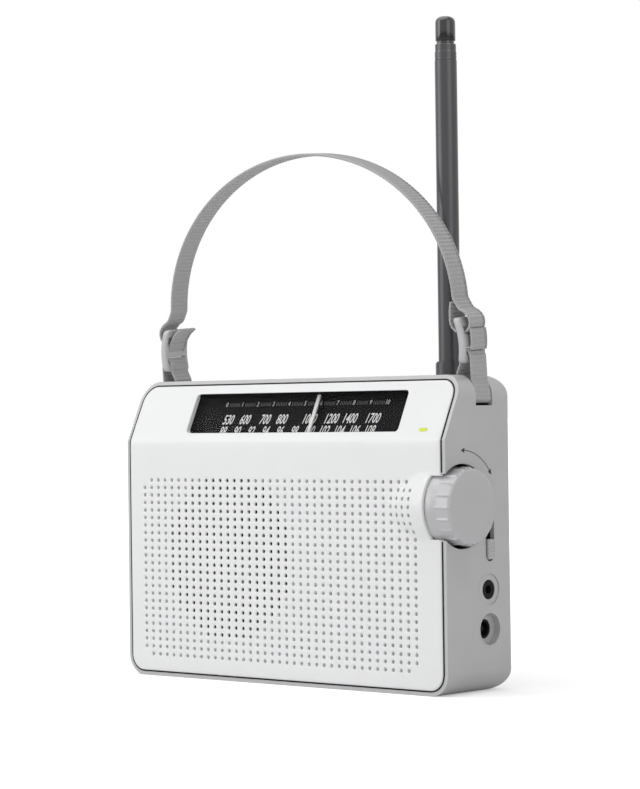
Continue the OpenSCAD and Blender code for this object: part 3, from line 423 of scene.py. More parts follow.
def smoothed(line, rounds):
    """The line with every inner point moved to the average of itself and its neighbours, a few times."""
    line = np.array(line, float)
    for _ in range(rounds):
        line[1:-1] = (line[:-2] + 2 * line[1:-1] + line[2:]) / 4
    return line


def lathe(profile, centre, axis="z", segments=64, wave=None):
    """A profile of (radius, distance along the axis) turned about an axis through centre. wave, where
    given, adds wave(angle, row) to the radius of each point."""
    profile = np.asarray(profile, float)
    angle = np.linspace(0, 2 * math.pi, segments, endpoint=False)
    radius = profile[:, :1] + np.zeros((1, segments))
    if wave is not None:
        radius = radius + wave(angle[None, :], np.arange(len(profile))[:, None])
    along = profile[:, 1:] + np.zeros((1, segments))
    across, upward = radius * np.cos(angle), radius * np.sin(angle)
    order = {"z": (across, upward, along), "x": (along, across, upward), "y": (upward, along, across)}[axis]
    points = np.stack(order, -1).reshape(-1, 3) + np.asarray(centre)
    return points, [grid_faces(len(profile), segments, wrap_columns=True)]


def section(width, thickness, steps=5):
    """Outline of a flat bar with round edges: half circles joined by straight sides."""
    radius = thickness / 2
    turn = np.linspace(-math.pi / 2, math.pi / 2, 2 * steps + 1)
    half = width / 2 - radius
    flat = np.linspace(-half, half, 9)[1:-1]
    right = np.stack([half + radius * np.cos(turn), radius * np.sin(turn)], 1)
    top = np.stack([flat[::-1], np.full(7, radius)], 1)
    left = -right
    bottom = np.stack([flat, np.full(7, -radius)], 1)
    return np.vstack([right, top, left, bottom])


def sweep(line, outline, side, wave=None, closed=False):
    """An outline of (across, off) carried along a line. side is the direction of across at every point, and
    off is square to it and to the line. wave(distance, across, off) gives a factor for off."""
    line = np.asarray(line, float)
    ahead = np.roll(line, -1, 0) - np.roll(line, 1, 0)
    if not closed:
        ahead[0], ahead[-1] = line[1] - line[0], line[-1] - line[-2]
    ahead /= np.linalg.norm(ahead, axis=1, keepdims=True)
    side = np.asarray(side, float) + np.zeros_like(line)
    side = side / np.linalg.norm(side, axis=1, keepdims=True)
    off = np.cross(ahead, side)
    off /= np.linalg.norm(off, axis=1, keepdims=True)
    at = np.concatenate([[0], np.cumsum(np.linalg.norm(np.diff(line, axis=0), axis=1))])
    across = outline[None, :, 0] + np.zeros((len(line), 1))
    away = outline[None, :, 1] + np.zeros((len(line), 1))
    if wave is not None:
        away = away * wave(at[:, None], across, away)
    points = line[:, None] + across[..., None] * side[:, None] + away[..., None] * off[:, None]
    rows, columns = len(line), len(outline)
    faces = [grid_faces(rows, columns, wrap_rows=closed, wrap_columns=True)]
    if not closed:
        faces += [np.arange(columns)[None, ::-1], (rows - 1) * columns + np.arange(columns)[None]]
    distance = np.concatenate([[0], np.cumsum(np.linalg.norm(np.diff(outline, axis=0), axis=1))])
    uv = np.stack([np.broadcast_to(distance, across.shape), np.broadcast_to(at[:, None], across.shape)], -1)
    return points.reshape(-1, 3), faces, uv.reshape(-1, 2)


def rim_of(faces):
    """Edges that belong to one face only, as (from, to) pairs in that face's own direction."""
    pairs = [np.stack([f, np.roll(f, -1, 1)], -1).reshape(-1, 2) for f in faces]
    edges = np.vstack(pairs)
    key = edges.min(1).astype(np.int64) * (edges.max() + 1) + edges.max(1)
    _, place, count = np.unique(key, return_inverse=True, return_counts=True)
    return edges[count[place] == 1]


def skirt(flat, faces, bevel, depth, steps=3):
    """Walls round a flat patch: the patch's free edges are carried outwards and down round a quarter
    circle of radius bevel, then straight down to depth. Returns the walls' flat places, depths and faces,
    and for each point the number of the wall's foot below it. bevel and depth are a number or one value for
    each point."""
    edges = rim_of(faces)
    start, end = edges[:, 0], edges[:, 1]
    total = len(flat)
    way = flat[end] - flat[start]
    way /= np.linalg.norm(way, axis=1, keepdims=True) + 1e-12
    out = np.stack([way[:, 1], -way[:, 0]], 1)
    turn = np.zeros((total, 2))
    np.add.at(turn, start, out)
    np.add.at(turn, end, out)
    rim = np.unique(edges)
    turn = turn[rim]
    length = np.linalg.norm(turn, axis=1, keepdims=True) + 1e-12
    turn = turn / length * np.minimum(2 / length, 1.5)
    number = np.full(total, -1)
    number[rim] = np.arange(len(rim))
    bevel = (np.asarray(bevel, float) + np.zeros(total))[rim]
    depth = (np.asarray(depth, float) + np.zeros(total))[rim]
    places, depths, walls = [], [], []
    before_start, before_end = start, end
    angles = np.linspace(0, math.pi / 2, steps + 1)[1:]
    for k, angle in enumerate([*angles, None]):
        reach = bevel if angle is None else bevel * math.sin(angle)
        down = depth if angle is None else bevel * (1 - math.cos(angle))
        places.append(flat[rim] + turn * reach[:, None])
        depths.append(down)
        base = total + k * len(rim)
        walls.append(np.stack([before_end, before_start, base + number[start], base + number[end]], 1))
        before_start, before_end = base + number[start], base + number[end]
    bottom = np.where(number >= 0, base + number, -1)
    return np.vstack(places), np.concatenate(depths), walls, bottom


def plate(u_lines, v_lines, keep, bevel, thickness, bend=None):
    """A flat plate with square holes and round edges, closed on both faces. keep(u, v) says which cells of
    the grid are solid, and bend(u, v) moves its flat points. Returns points (u, v, depth) and faces."""
    u, v = np.meshgrid(u_lines, v_lines, indexing="ij")
    middle_u, middle_v = (u[1:, 1:] + u[:-1, :-1]) / 2, (v[1:, 1:] + v[:-1, :-1]) / 2
    flat = np.stack([u.ravel(), v.ravel()], 1)
    index = np.arange(u.size).reshape(u.shape)
    quads = np.stack([index[:-1, :-1], index[1:, :-1], index[1:, 1:], index[:-1, 1:]], -1)
    quads = quads[keep(middle_u, middle_v)]
    if bend is not None:
        flat = bend(flat)
    used, small = np.unique(quads, return_inverse=True)
    flat, quads = flat[used], small.reshape(-1, 4)
    place, down, walls, _ = skirt(flat, [quads], bevel, thickness / 2)
    half = np.vstack([np.column_stack([flat, np.zeros(len(flat))]), np.column_stack([place, down])])
    other = half * [1, 1, -1] + [0, 0, thickness]
    faces = [quads] + walls
    faces += [f[:, ::-1] + len(half) for f in faces]
    return np.vstack([half, other]), faces


def corner_bend(low_corner, high_corner, radius):
    """A bend for a rectangle's grid that rounds its four corners: within a square of side radius at each
    corner, the square is mapped onto a quarter disc, x sqrt(1 - y^2 / 2) and y sqrt(1 - x^2 / 2)."""
    low_corner, high_corner = np.asarray(low_corner, float), np.asarray(high_corner, float)

    def bend(flat):
        inner = np.clip(flat, low_corner + radius, high_corner - radius)
        part = (flat - inner) / radius
        part = np.clip(part, -1, 1)
        disc = part * np.sqrt(1 - part[:, ::-1] ** 2 / 2)
        return inner + disc * radius
    return bend


def smooth_least(a, b, width):
    """The lesser of two arrays, rounded over about width where they cross."""
    return -width * np.logaddexp(-a / width, -b / width)


# ---------- front panel ----------

KNOB_R = (high("tuning_knob")[1] - low("tuning_knob")[1]) / 2
KNOB_BACK = KNOB_Y - FRONT_Y
FAIRING_R = KNOB_R + 1.1 * MM
FAIRING_X0, FAIRING_X1 = KNOB_X0 - 20.7 * MM, KNOB_X0 - 0.4 * MM
KNOB_GAP_Z = 12.62 * MM
LINER_FRONT, LINER_BACK, SEAM_OUT = 0.35 * MM, 5.1 * MM, 0.3 * MM
PANEL_DEPTH, THROUGH_DEPTH = 2.2 * MM, 0.9 * MM
WINDOW_FOOT, WINDOW_TOP, LAMP_UP = 3.1 * MM, 21.8 * MM, 4.3 * MM
PANEL_CORNER, WINDOW_CORNER, HOLE_EDGE = 6.4 * MM, 2 * MM, 0.15 * MM
WINDOW_EDGE, POCKET_EDGE, LAMP_HALF = 0.4 * MM, 0.25 * MM, (2.2 * MM, 0.8 * MM)
KNOB_WALL_R, SHAFT_HOLE_R = 14.6 * MM, 1.56 * MM
WINDOW_LOW = np.array([low("dial_window")[0] - 0.1 * MM, CREASE_Z + WINDOW_FOOT * math.cos(LEAN)])
WINDOW_HIGH = np.array([high("dial_window")[0] + 0.1 * MM, CREASE_Z + WINDOW_TOP * math.cos(LEAN)])
SPEAKER = np.array([middle("speaker_cone")[0], middle("speaker_cone")[2]])
OPEN_RADIUS = 34.5 * MM
LAMP = np.array([74.5 * MM, CREASE_Z + LAMP_UP * math.cos(LEAN)])
# The sixteen points round a grille hole, and the grid lines of its cell that they are joined to.
RING = np.radians(-135 + 22.5 * np.arange(16))
RING_X = np.array([0, 1, 2, 3, 4, 4, 4, 4, 4, 3, 2, 1, 0, 0, 0, 0])
RING_Z = np.array([0, 0, 0, 0, 0, 1, 2, 3, 4, 4, 4, 4, 4, 3, 2, 1])


def front_surface(x, z):
    """Y of the panel's front. It is flat up to the crease and leans back above it, joined by
    k log(1 + exp(rise / k)). In front of that stands the knob's fairing, KNOB_Y - sqrt(r^2 - dz^2), where
    r = R - (R - back) share^1.6 and share runs from 0 at the knob to 1 where the fairing meets the panel."""
    k = 0.25 * MM
    flat = FRONT_Y + k * np.logaddexp(0, (z - CREASE_Z) * math.tan(LEAN) / k)
    share = np.clip((FAIRING_X1 - x) / (FAIRING_X1 - FAIRING_X0), 0, 1.6)
    radius = np.maximum(FAIRING_R - (FAIRING_R - KNOB_BACK) * share ** 1.6, 0)
    inside = np.maximum(radius ** 2 - (z - KNOB_Z) ** 2, 0)
    return smooth_least(flat, KNOB_Y - np.sqrt(inside), 0.3 * MM)


def on_slope(x, up, behind):
    """Points up the leaning part of the front: up is measured from the crease along it, and behind square
    to it."""
    y = FRONT_Y + up * math.sin(LEAN) + behind * math.cos(LEAN)
    z = CREASE_Z + up * math.cos(LEAN) - behind * math.sin(LEAN)
    return np.stack(np.broadcast_arrays(x, y, z), -1)


def round_hole(flat, lowest, highest, radius):
    """Moves a rectangle's edge points near its corners onto quarter circles: a point d from the corner goes
    to the angle 45 (1 - d / radius) degrees from its own side's end of the arc."""
    flat = flat.copy()
    inside = (flat >= lowest - 1e-7).all(1) & (flat <= highest + 1e-7).all(1)
    for turn_x, x in ((1, lowest[0]), (-1, highest[0])):
        for turn_z, z in ((1, lowest[1]), (-1, highest[1])):
            along = (flat - [x, z]) * [turn_x, turn_z]
            for axis in (0, 1):
                pick = inside & (np.abs(along[:, 1 - axis]) < 1e-6) & (along[:, axis] < radius)
                angle = math.pi / 4 * (1 - along[pick, axis] / radius)
                moved = np.empty((pick.sum(), 2))
                moved[:, axis] = radius * (1 - np.sin(angle))
                moved[:, 1 - axis] = radius * (1 - np.cos(angle))
                flat[pick] = [x, z] + moved * [turn_x, turn_z]
    return flat


def panel_lines(sizes):
    """The panel's grid lines in x and z, four to each grille cell, and where the grille starts in each."""
    step_x, step_z = sizes.pitch_x / 4, sizes.pitch_z / 4
    start_x, start_z = sizes.first_x - 2 * step_x, sizes.first_z - 2 * step_z
    edge = sizes.panel_edge
    left = np.linspace(PANEL_LOW[0] + edge, start_x, 6)[:-1]
    right = np.array([74.5, 75.8, 76.8, FAIRING_X1 / MM, 80, 81.4]) * MM
    below = np.linspace(PANEL_LOW[2] + edge, start_z, 6)[:-1]
    above = np.concatenate([np.array([84.92, 86.2, 87.5, 88.9, 91, 93.5, 95.8]) * MM,
                            CREASE_Z + np.array([-1, -0.4, 0, 0.4, 0.9, 1.6, 2.3]) * MM, [WINDOW_LOW[1]],
                            LAMP[1] + np.array([-0.53, 0, 0.53, 1.08, 3, 5.5, 8, 10.5]) * MM,
                            WINDOW_HIGH[1] + np.array([-3.4, -2, -1.3, -0.7, 0, 0.8]) * MM])
    x = np.concatenate([left, start_x + step_x * np.arange(4 * sizes.columns + 1), right,
                        [PANEL_HIGH[0] - edge]])
    z = np.concatenate([below, start_z + step_z * np.arange(4 * sizes.rows + 1), above,
                        [PANEL_HIGH[2] - edge]])
    return x, z, len(left), len(below)


def front_panel_mesh(sizes):
    """The panel as one closed shell: a grid in x and z with a ring of sixteen points in each grille cell,
    lifted to front_surface, walls round every edge and hole, and a back face."""
    x_lines, z_lines, first_column, first_row = panel_lines(sizes)
    x, z = np.meshgrid(x_lines, z_lines, indexing="ij")
    index = np.arange(x.size).reshape(x.shape)
    flat = np.stack([x.ravel(), z.ravel()], 1)

    column, row = np.meshgrid(np.arange(sizes.columns), np.arange(sizes.rows), indexing="ij")
    corner = np.isin(column, [0, sizes.columns - 1]) & np.isin(row, [0, sizes.rows - 1])
    column, row = column[~corner], row[~corner]
    centres = np.stack([sizes.first_x + column * sizes.pitch_x, sizes.first_z + row * sizes.pitch_z], 1)
    through = np.linalg.norm(centres - SPEAKER, axis=1) < OPEN_RADIUS
    start_x, start_z = first_column + 4 * column, first_row + 4 * row
    lamp_x = np.searchsorted(x_lines, LAMP[0] - 1e-6) - 2
    lamp_z = np.searchsorted(z_lines, LAMP[1] - 1e-6) - 2
    start_x, start_z = np.append(start_x, lamp_x), np.append(start_z, lamp_z)
    centres, through = np.vstack([centres, LAMP]), np.append(through, True)
    radii = np.tile([sizes.hole_radius + HOLE_EDGE] * 2, (len(centres), 1))
    radii[-1] = LAMP_HALF

    around = index[start_x[:, None] + RING_X, start_z[:, None] + RING_Z]
    rings = centres[:, None] + radii[:, None] * np.stack([np.cos(RING), np.sin(RING)], 1)
    number = x.size + np.arange(rings.shape[0] * 16).reshape(-1, 16)
    patches = np.stack([around, np.roll(around, -1, 1), np.roll(number, -1, 1), number], -1)

    middle_x, middle_z = (x[1:, 1:] + x[:-1, :-1]) / 2, (z[1:, 1:] + z[:-1, :-1]) / 2
    window_x = x_lines[[np.abs(x_lines - WINDOW_LOW[0]).argmin(), np.abs(x_lines - WINDOW_HIGH[0]).argmin()]]
    window = (middle_x > window_x[0]) & (middle_x < window_x[1]) \
        & (middle_z > WINDOW_LOW[1]) & (middle_z < WINDOW_HIGH[1])
    pocket = (middle_x > FAIRING_X1) & (np.abs(middle_z - KNOB_Z) < KNOB_GAP_Z)
    solid = ~(window | pocket)
    steps = np.arange(4)
    blocks_x = start_x[:, None, None] + steps[:, None] + 0 * steps
    blocks_z = start_z[:, None, None] + 0 * steps[:, None] + steps
    plain = solid.copy()
    plain[blocks_x, blocks_z] = False
    back_plain = solid.copy()
    back_plain[blocks_x[through], blocks_z[through]] = False
    quads = np.stack([index[:-1, :-1], index[1:, :-1], index[1:, 1:], index[:-1, 1:]], -1)

    lift = np.clip((flat[:, 1] - CREASE_Z) / (WINDOW_LOW[1] - CREASE_Z), 0, 1)
    for line, target in zip(window_x, (WINDOW_LOW[0], WINDOW_HIGH[0])):
        flat[:, 0] += np.where(np.abs(flat[:, 0] - line) < 1e-6, (target - line) * lift, 0)
    flat = round_hole(flat, WINDOW_LOW, WINDOW_HIGH, WINDOW_CORNER)
    edge = sizes.panel_edge
    flat = corner_bend(PANEL_LOW[[0, 2]] + edge, PANEL_HIGH[[0, 2]] - edge, PANEL_CORNER - edge)(flat)
    on_window = (flat >= WINDOW_LOW - 1e-6).all(1) & (flat <= WINDOW_HIGH + 1e-6).all(1)
    by_pocket = (flat[:, 0] > FAIRING_X1 - 1e-6) & (np.abs(flat[:, 1] - KNOB_Z) < KNOB_GAP_Z + 1e-6)
    bevel = np.where(on_window, WINDOW_EDGE, np.where(by_pocket, POCKET_EDGE, edge))
    bevel = np.concatenate([bevel, np.full(number.size, HOLE_EDGE)])
    depth = np.full(len(bevel), PANEL_DEPTH)
    depth[number[~through]] = sizes.hole_depth
    depth[number[through]] = THROUGH_DEPTH
    flat = np.vstack([flat, rings.reshape(-1, 2)])

    front = [quads[plain], patches.reshape(-1, 4)]
    places, depths, walls, bottom = skirt(flat, front, bevel, depth)
    total = len(flat) + len(places)
    back = np.vstack([quads[back_plain], patches[through].reshape(-1, 4)])
    used = np.unique(back)
    new = used[bottom[used] < 0]
    target = bottom.copy()
    target[new] = total + np.arange(len(new))
    floors = bottom[number[~through]]
    plane = np.vstack([flat, places, flat[new]])
    behind = np.concatenate([np.zeros(len(flat)), depths, np.full(len(new), PANEL_DEPTH)])
    faces = front + walls + [target[back][:, ::-1], floors]
    used = np.unique(np.concatenate([f.ravel() for f in faces]))
    small = np.full(len(plane), -1)
    small[used] = np.arange(len(used))
    points = np.stack([plane[:, 0], front_surface(plane[:, 0], plane[:, 1]) + behind, plane[:, 1]], 1)
    return points[used], [small[f] for f in faces]


def rounded_outline(lowest, highest, radius, steps=7):
    """A rectangle's outline with quarter circles at its corners, anticlockwise from its lower right one."""
    centres = [(highest[0] - radius, lowest[1] + radius), (highest[0] - radius, highest[1] - radius),
               (lowest[0] + radius, highest[1] - radius), (lowest[0] + radius, lowest[1] + radius)]
    arcs = []
    for number, centre in enumerate(centres):
        angle = np.radians(np.linspace(-90, 0, steps)) + number * math.pi / 2
        arcs.append(np.array(centre) + radius * np.stack([np.cos(angle), np.sin(angle)], 1))
    return np.vstack(arcs)


def flat_bar(width, thickness):
    """Section of a flat bar with square edges, as (across, off)."""
    return np.array([[-1, -1], [1, -1], [1, 1], [-1, 1]]) * np.array([width, thickness]) / 2


def window_liner_mesh():
    """A dark sleeve between the window and the panel: the hole's outline 0.05 mm inside its edge, carried
    back square to the leaning front from LINER_FRONT to LINER_BACK."""
    lowest = np.array([WINDOW_LOW[0], WINDOW_FOOT]) + 0.05 * MM
    highest = np.array([WINDOW_HIGH[0], WINDOW_TOP]) - 0.05 * MM
    outline = rounded_outline(lowest, highest, WINDOW_CORNER)
    line = on_slope(outline[:, 0], outline[:, 1], (LINER_FRONT + LINER_BACK) / 2)
    points, faces, _ = sweep(line, flat_bar(LINER_BACK - LINER_FRONT, 0.06 * MM),
                             (0, math.cos(LEAN), -math.sin(LEAN)), closed=True)
    return points, faces


def seam_mesh():
    """A black strip round the panel that stands for the shade in the groove between panel and cabinet, as
    painted shade: its outline SEAM_OUT outside the panel, from above the knob round to below it, lying on the
    cabinet's front edge."""
    lowest, highest = PANEL_LOW[[0, 2]] - SEAM_OUT, PANEL_HIGH[[0, 2]] + SEAM_OUT
    ring = rounded_outline(lowest, highest, PANEL_CORNER + SEAM_OUT)
    half = len(ring) // 4
    above, below = KNOB_Z + KNOB_GAP_Z + 0.6 * MM, KNOB_Z - KNOB_GAP_Z - 0.6 * MM
    side = [(highest[0], below), (highest[0], above)]
    path = np.vstack([side[1], ring[half:], ring[:half], side[0]])
    path, _ = evenly(path, 1.2 * MM)
    y = FRONT_Y + 0.6 * MM + np.maximum(0, path[:, 1] - CREASE_Z) * math.tan(LEAN) - 0.06 * MM
    line = np.stack([path[:, 0], y, path[:, 1]], 1)
    points, faces, _ = sweep(line, flat_bar(0.3 * MM, 0.5 * MM), (0, 1, 0))
    return points, faces


# ---------- knob ----------

def knob_mesh(sizes):
    """The knob turned about its axis: a smooth collar, a barrel that narrows slightly to a small rounded rim,
    and a plain face. The barrel's radius grows by rib max(0, cos(ribs angle))^5, thin bars along it."""
    length = KNOB_X1 - KNOB_X0
    body = KNOB_R - sizes.rib_height
    start = 0.42 * length
    collar = [(0, 0), (KNOB_R - 0.6 * MM, 0), (KNOB_R - 0.15 * MM, 0.25 * MM), (KNOB_R, 0.8 * MM),
              (KNOB_R - 0.05 * MM, start - 2.5 * MM), (KNOB_R - 0.2 * MM, start - 1 * MM)]
    barrel = [(body + 0.1 * MM, start), (body, start + 1 * MM), (body - 0.1 * MM, length - 1.6 * MM),
              (body - 0.15 * MM, length - 0.9 * MM), (body - 0.35 * MM, length - 0.4 * MM)]
    face = [(body - 0.8 * MM, length - 0.08 * MM), (body - 1.3 * MM, length - 0.02 * MM),
            (body * 0.5, length), (0.3 * MM, length), (0, length)]
    rows = collar + barrel + face
    share = np.zeros(len(rows))
    share[len(collar):len(collar) + len(barrel)] = [0.15, 0.8, 1, 0.9, 0.3]

    def ribs(angle, row):
        return share[row] * sizes.rib_height * np.maximum(0, np.cos(sizes.knob_ribs * angle)) ** 5
    return lathe(rows, (KNOB_X0, KNOB_Y, KNOB_Z), "x", sizes.knob_ribs * 16, ribs)


ARROW_R, ARROW_START, ARROW_TURN = 21.5 * MM, 33, 59
ARROW_HALF, HEAD_HALF, TIP_HALF = 0.16 * MM, 1.05 * MM, 0.02 * MM


def arrow_mesh(lift):
    """A thin arc with an arrowhead at each end, printed on the right side around the knob: a ring sector
    whose half width grows from a line to a head and back to a point along its angle."""
    share = np.concatenate([[0, 0.1, 0.1001], np.linspace(0.12, 0.88, 30), [0.8999, 0.9, 1]])
    half = np.where((share < 0.1001) | (share > 0.8999), 0.0, ARROW_HALF)
    half[[1, -2]] = HEAD_HALF
    half[[0, -1]] = TIP_HALF
    angle = np.radians(ARROW_START + ARROW_TURN * share)
    radius = ARROW_R + half[:, None] * np.array([-1, 1, 1, -1])
    x = CASE_HIGH[0] + lift * np.array([0, 0, 1, 1]) - 0.005 * MM + np.zeros((len(share), 1))
    y = KNOB_Y + radius * np.cos(angle)[:, None]
    z = KNOB_Z + radius * np.sin(angle)[:, None]
    rows = len(share)
    faces = [grid_faces(rows, 4, wrap_columns=True), np.array([[3, 2, 1, 0]]),
             (rows - 1) * 4 + np.array([[0, 1, 2, 3]])]
    return np.stack([x, y, z], -1).reshape(-1, 3), faces


# ---------- dial print ----------

PLATE_BEHIND = 5.2 * MM
SCALE_X, SCALE_STEP, SCALE_UP, TICK_UP = -39.1 * MM, 8.67 * MM, 18.9 * MM, 18.7 * MM
UPPER_X, UPPER_WIDE, LOWER_X, LOWER_WIDE = -35.6 * MM, 78.1 * MM, -36.8 * MM, 79.3 * MM
UPPER_UP, LOWER_UP, NUMBER_HEIGHT = 12.0 * MM, 6.7 * MM, 4.4 * MM
NUMBER_SHARE, NUMBER_SLOPE = 0.62, 0.18


def text_outline(text, height):
    """Points and faces of a flat word of unit depth, centred on its own middle and height metres tall."""
    curve = bpy.data.curves.new("word", "FONT")
    curve.body = text
    curve.align_x = "CENTER"
    curve.size = 1
    curve.offset = 0.012
    curve.extrude = 0.5
    curve.resolution_u = 3
    shown = bpy.data.objects.new("word", curve)
    bpy.context.scene.collection.objects.link(shown)
    mesh = bpy.data.meshes.new_from_object(shown.evaluated_get(bpy.context.evaluated_depsgraph_get()))
    points = np.empty(len(mesh.vertices) * 3, np.float32)
    mesh.vertices.foreach_get("co", points)
    points = points.reshape(-1, 3).astype(float)
    faces = [np.array([list(f.vertices)]) for f in mesh.polygons]
    for made, store in ((shown, bpy.data.objects), (curve, bpy.data.curves), (mesh, bpy.data.meshes)):
        store.remove(made)
    tall = points[:, 1].max() - points[:, 1].min()
    points[:, 1] -= (points[:, 1].max() + points[:, 1].min()) / 2
    points[:, :2] *= height / tall
    return points, faces


def printed(words, lift):
    """Words on the dial plate, each (text, x, up, height, width share, slope): a letter's point goes to
    x + share u + slope v across and up + v along the leaning plate."""
    points, faces, start = [], [], 0
    for text, x, up, height, share, slope in words:
        own, parts = text_outline(text, height)
        across = x + share * own[:, 0] + slope * own[:, 1]
        points.append(on_slope(across, up + own[:, 1], PLATE_BEHIND - lift * (own[:, 2] + 0.5)))
        faces += [f + start for f in parts]
        start += len(own)
    return np.vstack(points), faces


def bars(boxes, lift):
    """Thin bars on the dial plate, each (x, up, width, height), as closed boxes."""
    corner = np.array([[-1, -1, 0], [1, -1, 0], [1, 1, 0], [-1, 1, 0],
                       [-1, -1, 1], [1, -1, 1], [1, 1, 1], [-1, 1, 1]])
    side = np.array([[0, 1, 2, 3], [7, 6, 5, 4], [0, 4, 5, 1], [1, 5, 6, 2], [2, 6, 7, 3], [3, 7, 4, 0]])
    boxes = np.array(boxes)
    across = boxes[:, :1] + corner[:, 0] * boxes[:, 2:3] / 2
    up = boxes[:, 1:2] + corner[:, 1] * boxes[:, 3:] / 2
    behind = PLATE_BEHIND - lift * corner[:, 2] + np.zeros_like(up)
    faces = (8 * np.arange(len(boxes))[:, None, None] + side).reshape(-1, 4)
    return on_slope(across, up, behind).reshape(-1, 3), [faces]


def dial_words():
    """The dial's three rows: an even scale 0 to 10, a row on log(f - 150), and an even row 88 to 108."""
    small = [(str(k), SCALE_X + SCALE_STEP * k, SCALE_UP, 2.0 * MM, 0.85, 0.1) for k in range(11)]
    look = (NUMBER_HEIGHT, NUMBER_SHARE, NUMBER_SLOPE)
    marks = [530, 600, 700, 800, 1000, 1200, 1400, 1700]
    share = np.log(np.array(marks) - 150.0)
    share = (share - share[0]) / (share[-1] - share[0])
    upper = [(str(f), UPPER_X + UPPER_WIDE * s, UPPER_UP, *look) for f, s in zip(marks, share)]
    lower = [(str(f), LOWER_X + LOWER_WIDE * (f - 88) / 20, LOWER_UP, *look)
             for f in range(88, 109, 2)]
    return small, upper + lower


# ---------- strap ----------

STRAP_LEAN = math.radians(4)
WEBBING_W, WEBBING_T = 9.8 * MM, 1.2 * MM
BUCKLE_X = 81 * MM
BUCKLE_LOW, BUCKLE_HIGH = CASE_HIGH[2] + 4.6 * MM, CASE_HIGH[2] + 22.6 * MM
BOW_TOP, BOW_FOOT = 2.6 * MM, 0.9 * MM
# The strap's lines are in mm, and webbing turns them into metres.
ARCH_HALF, ARCH_FOOT, ARCH_RISE = 76.5, 150.9, 63
LOOP_CORNER, CORNER_BEND, BAR_BEND = (77.5, 114.4), 7.75, 1.3
FOLD_LINE = [(75.2, 151.5), (74.6, 148.0), (74.4, 144.6), (75.0, 141.8), (77.2, 140.0)]
TAIL_LINES = {
    "tail_left": [(-80.4, 134.9), (-79.0, 137.4), (-77.4, 140.8), (-75.2, 143.4), (-72.2, 145.2)],
    "tail_right": [(84.1, 132.8), (84.6, 135.2), (84.6, 138.6), (84.3, 140.9)],
}


def leaning(points, above_only=False):
    """Turns points about the line through the tops of the loops. above_only leaves what is below it."""
    points = np.array(points, float)
    y, z = points[:, 1] - STRAP_Y, points[:, 2] - STRAP_PIVOT_Z
    angle = np.where(z > 0, STRAP_LEAN, 0) if above_only else STRAP_LEAN
    points[:, 1] = STRAP_Y + y * np.cos(angle) - z * np.sin(angle)
    points[:, 2] = STRAP_PIVOT_Z + y * np.sin(angle) + z * np.cos(angle)
    return points


def webbing(line_xz, sizes, lean=True):
    """Webbing along a line in x and z, in mm. Its crosswise ribs are
    off (1 + relief / half (cos(2 pi s / pitch) - 1)), fading to nothing at the two edges."""
    line, _ = evenly(np.array(line_xz) * MM, sizes.webbing_pitch / 4)
    line = smoothed(line, 6)
    path = np.stack([line[:, 0], np.full(len(line), STRAP_Y), line[:, 1]], 1)

    def ribs(distance, across, off):
        fade = np.clip((WEBBING_W / 2 - np.abs(across)) / (0.8 * MM), 0, 1)
        wave = np.cos(2 * math.pi * distance / sizes.webbing_pitch)
        return 1 + fade * (wave - 1) * sizes.webbing_relief / (WEBBING_T / 2)
    points, faces, uv = sweep(path, section(WEBBING_W, WEBBING_T), (0, 1, 0), ribs)
    return leaning(points, above_only=not lean), faces, uv


def strap_line():
    """The handle: out of one buckle's upper slot, in a loose loop over its top bar, over an arc
    ARCH_HALF cos a, ARCH_FOOT + ARCH_RISE sin a, and into the other buckle the same way. In mm."""
    start = [(79.6, 139.6), (81.6, 139.6), (83.6, 141.0), (84.3, 143.4), (83.7, 145.6), (81.8, 147.5),
             (79.0, 148.8)]
    angle = np.radians(np.arange(2, 179, 2))
    arc = np.stack([ARCH_HALF * np.cos(angle), ARCH_FOOT + ARCH_RISE * np.sin(angle)], 1)
    end = [(-x, z) for x, z in start[::-1]]
    return np.vstack([start, arc, end])


def loop_line():
    """One loop: down the outside of the corner, round the bar's two bends and up to the buckle. In mm."""

    def around(centre, radius, begin, end, step):
        angle = np.radians(np.arange(begin, end + step / 2, step))
        return np.add(LOOP_CORNER, centre) + radius * np.stack([np.cos(angle), np.sin(angle)], 1)
    return np.vstack([[(81.8, 133.2), (83.6, 130.4), (83.6, 121.4)], around((0, 0), CORNER_BEND, 14, 0, -3.5),
                      around((6.45, -0.8), BAR_BEND, 0, -126, -10.5),
                      around((0.3, 3.8), BAR_BEND, -126, -180, -9),
                      [(76.5, 123.8), (78.4, 127.3), (78.4, 130.4), (80.2, 133.2)]])


def buckle_bow(z):
    """How far a buckle bends inwards at a height: BOW_TOP (t / 1.25)^2 above its fullest place, which is a
    quarter of its half height below its middle, and BOW_FOOT (t / 0.75)^2 below it."""
    middle_z, half_z = (BUCKLE_LOW + BUCKLE_HIGH) / 2, (BUCKLE_HIGH - BUCKLE_LOW) / 2
    t = (z - middle_z) / half_z + 0.25
    return np.where(t > 0, BOW_TOP * (t / 1.25) ** 2, BOW_FOOT * (t / 0.75) ** 2)


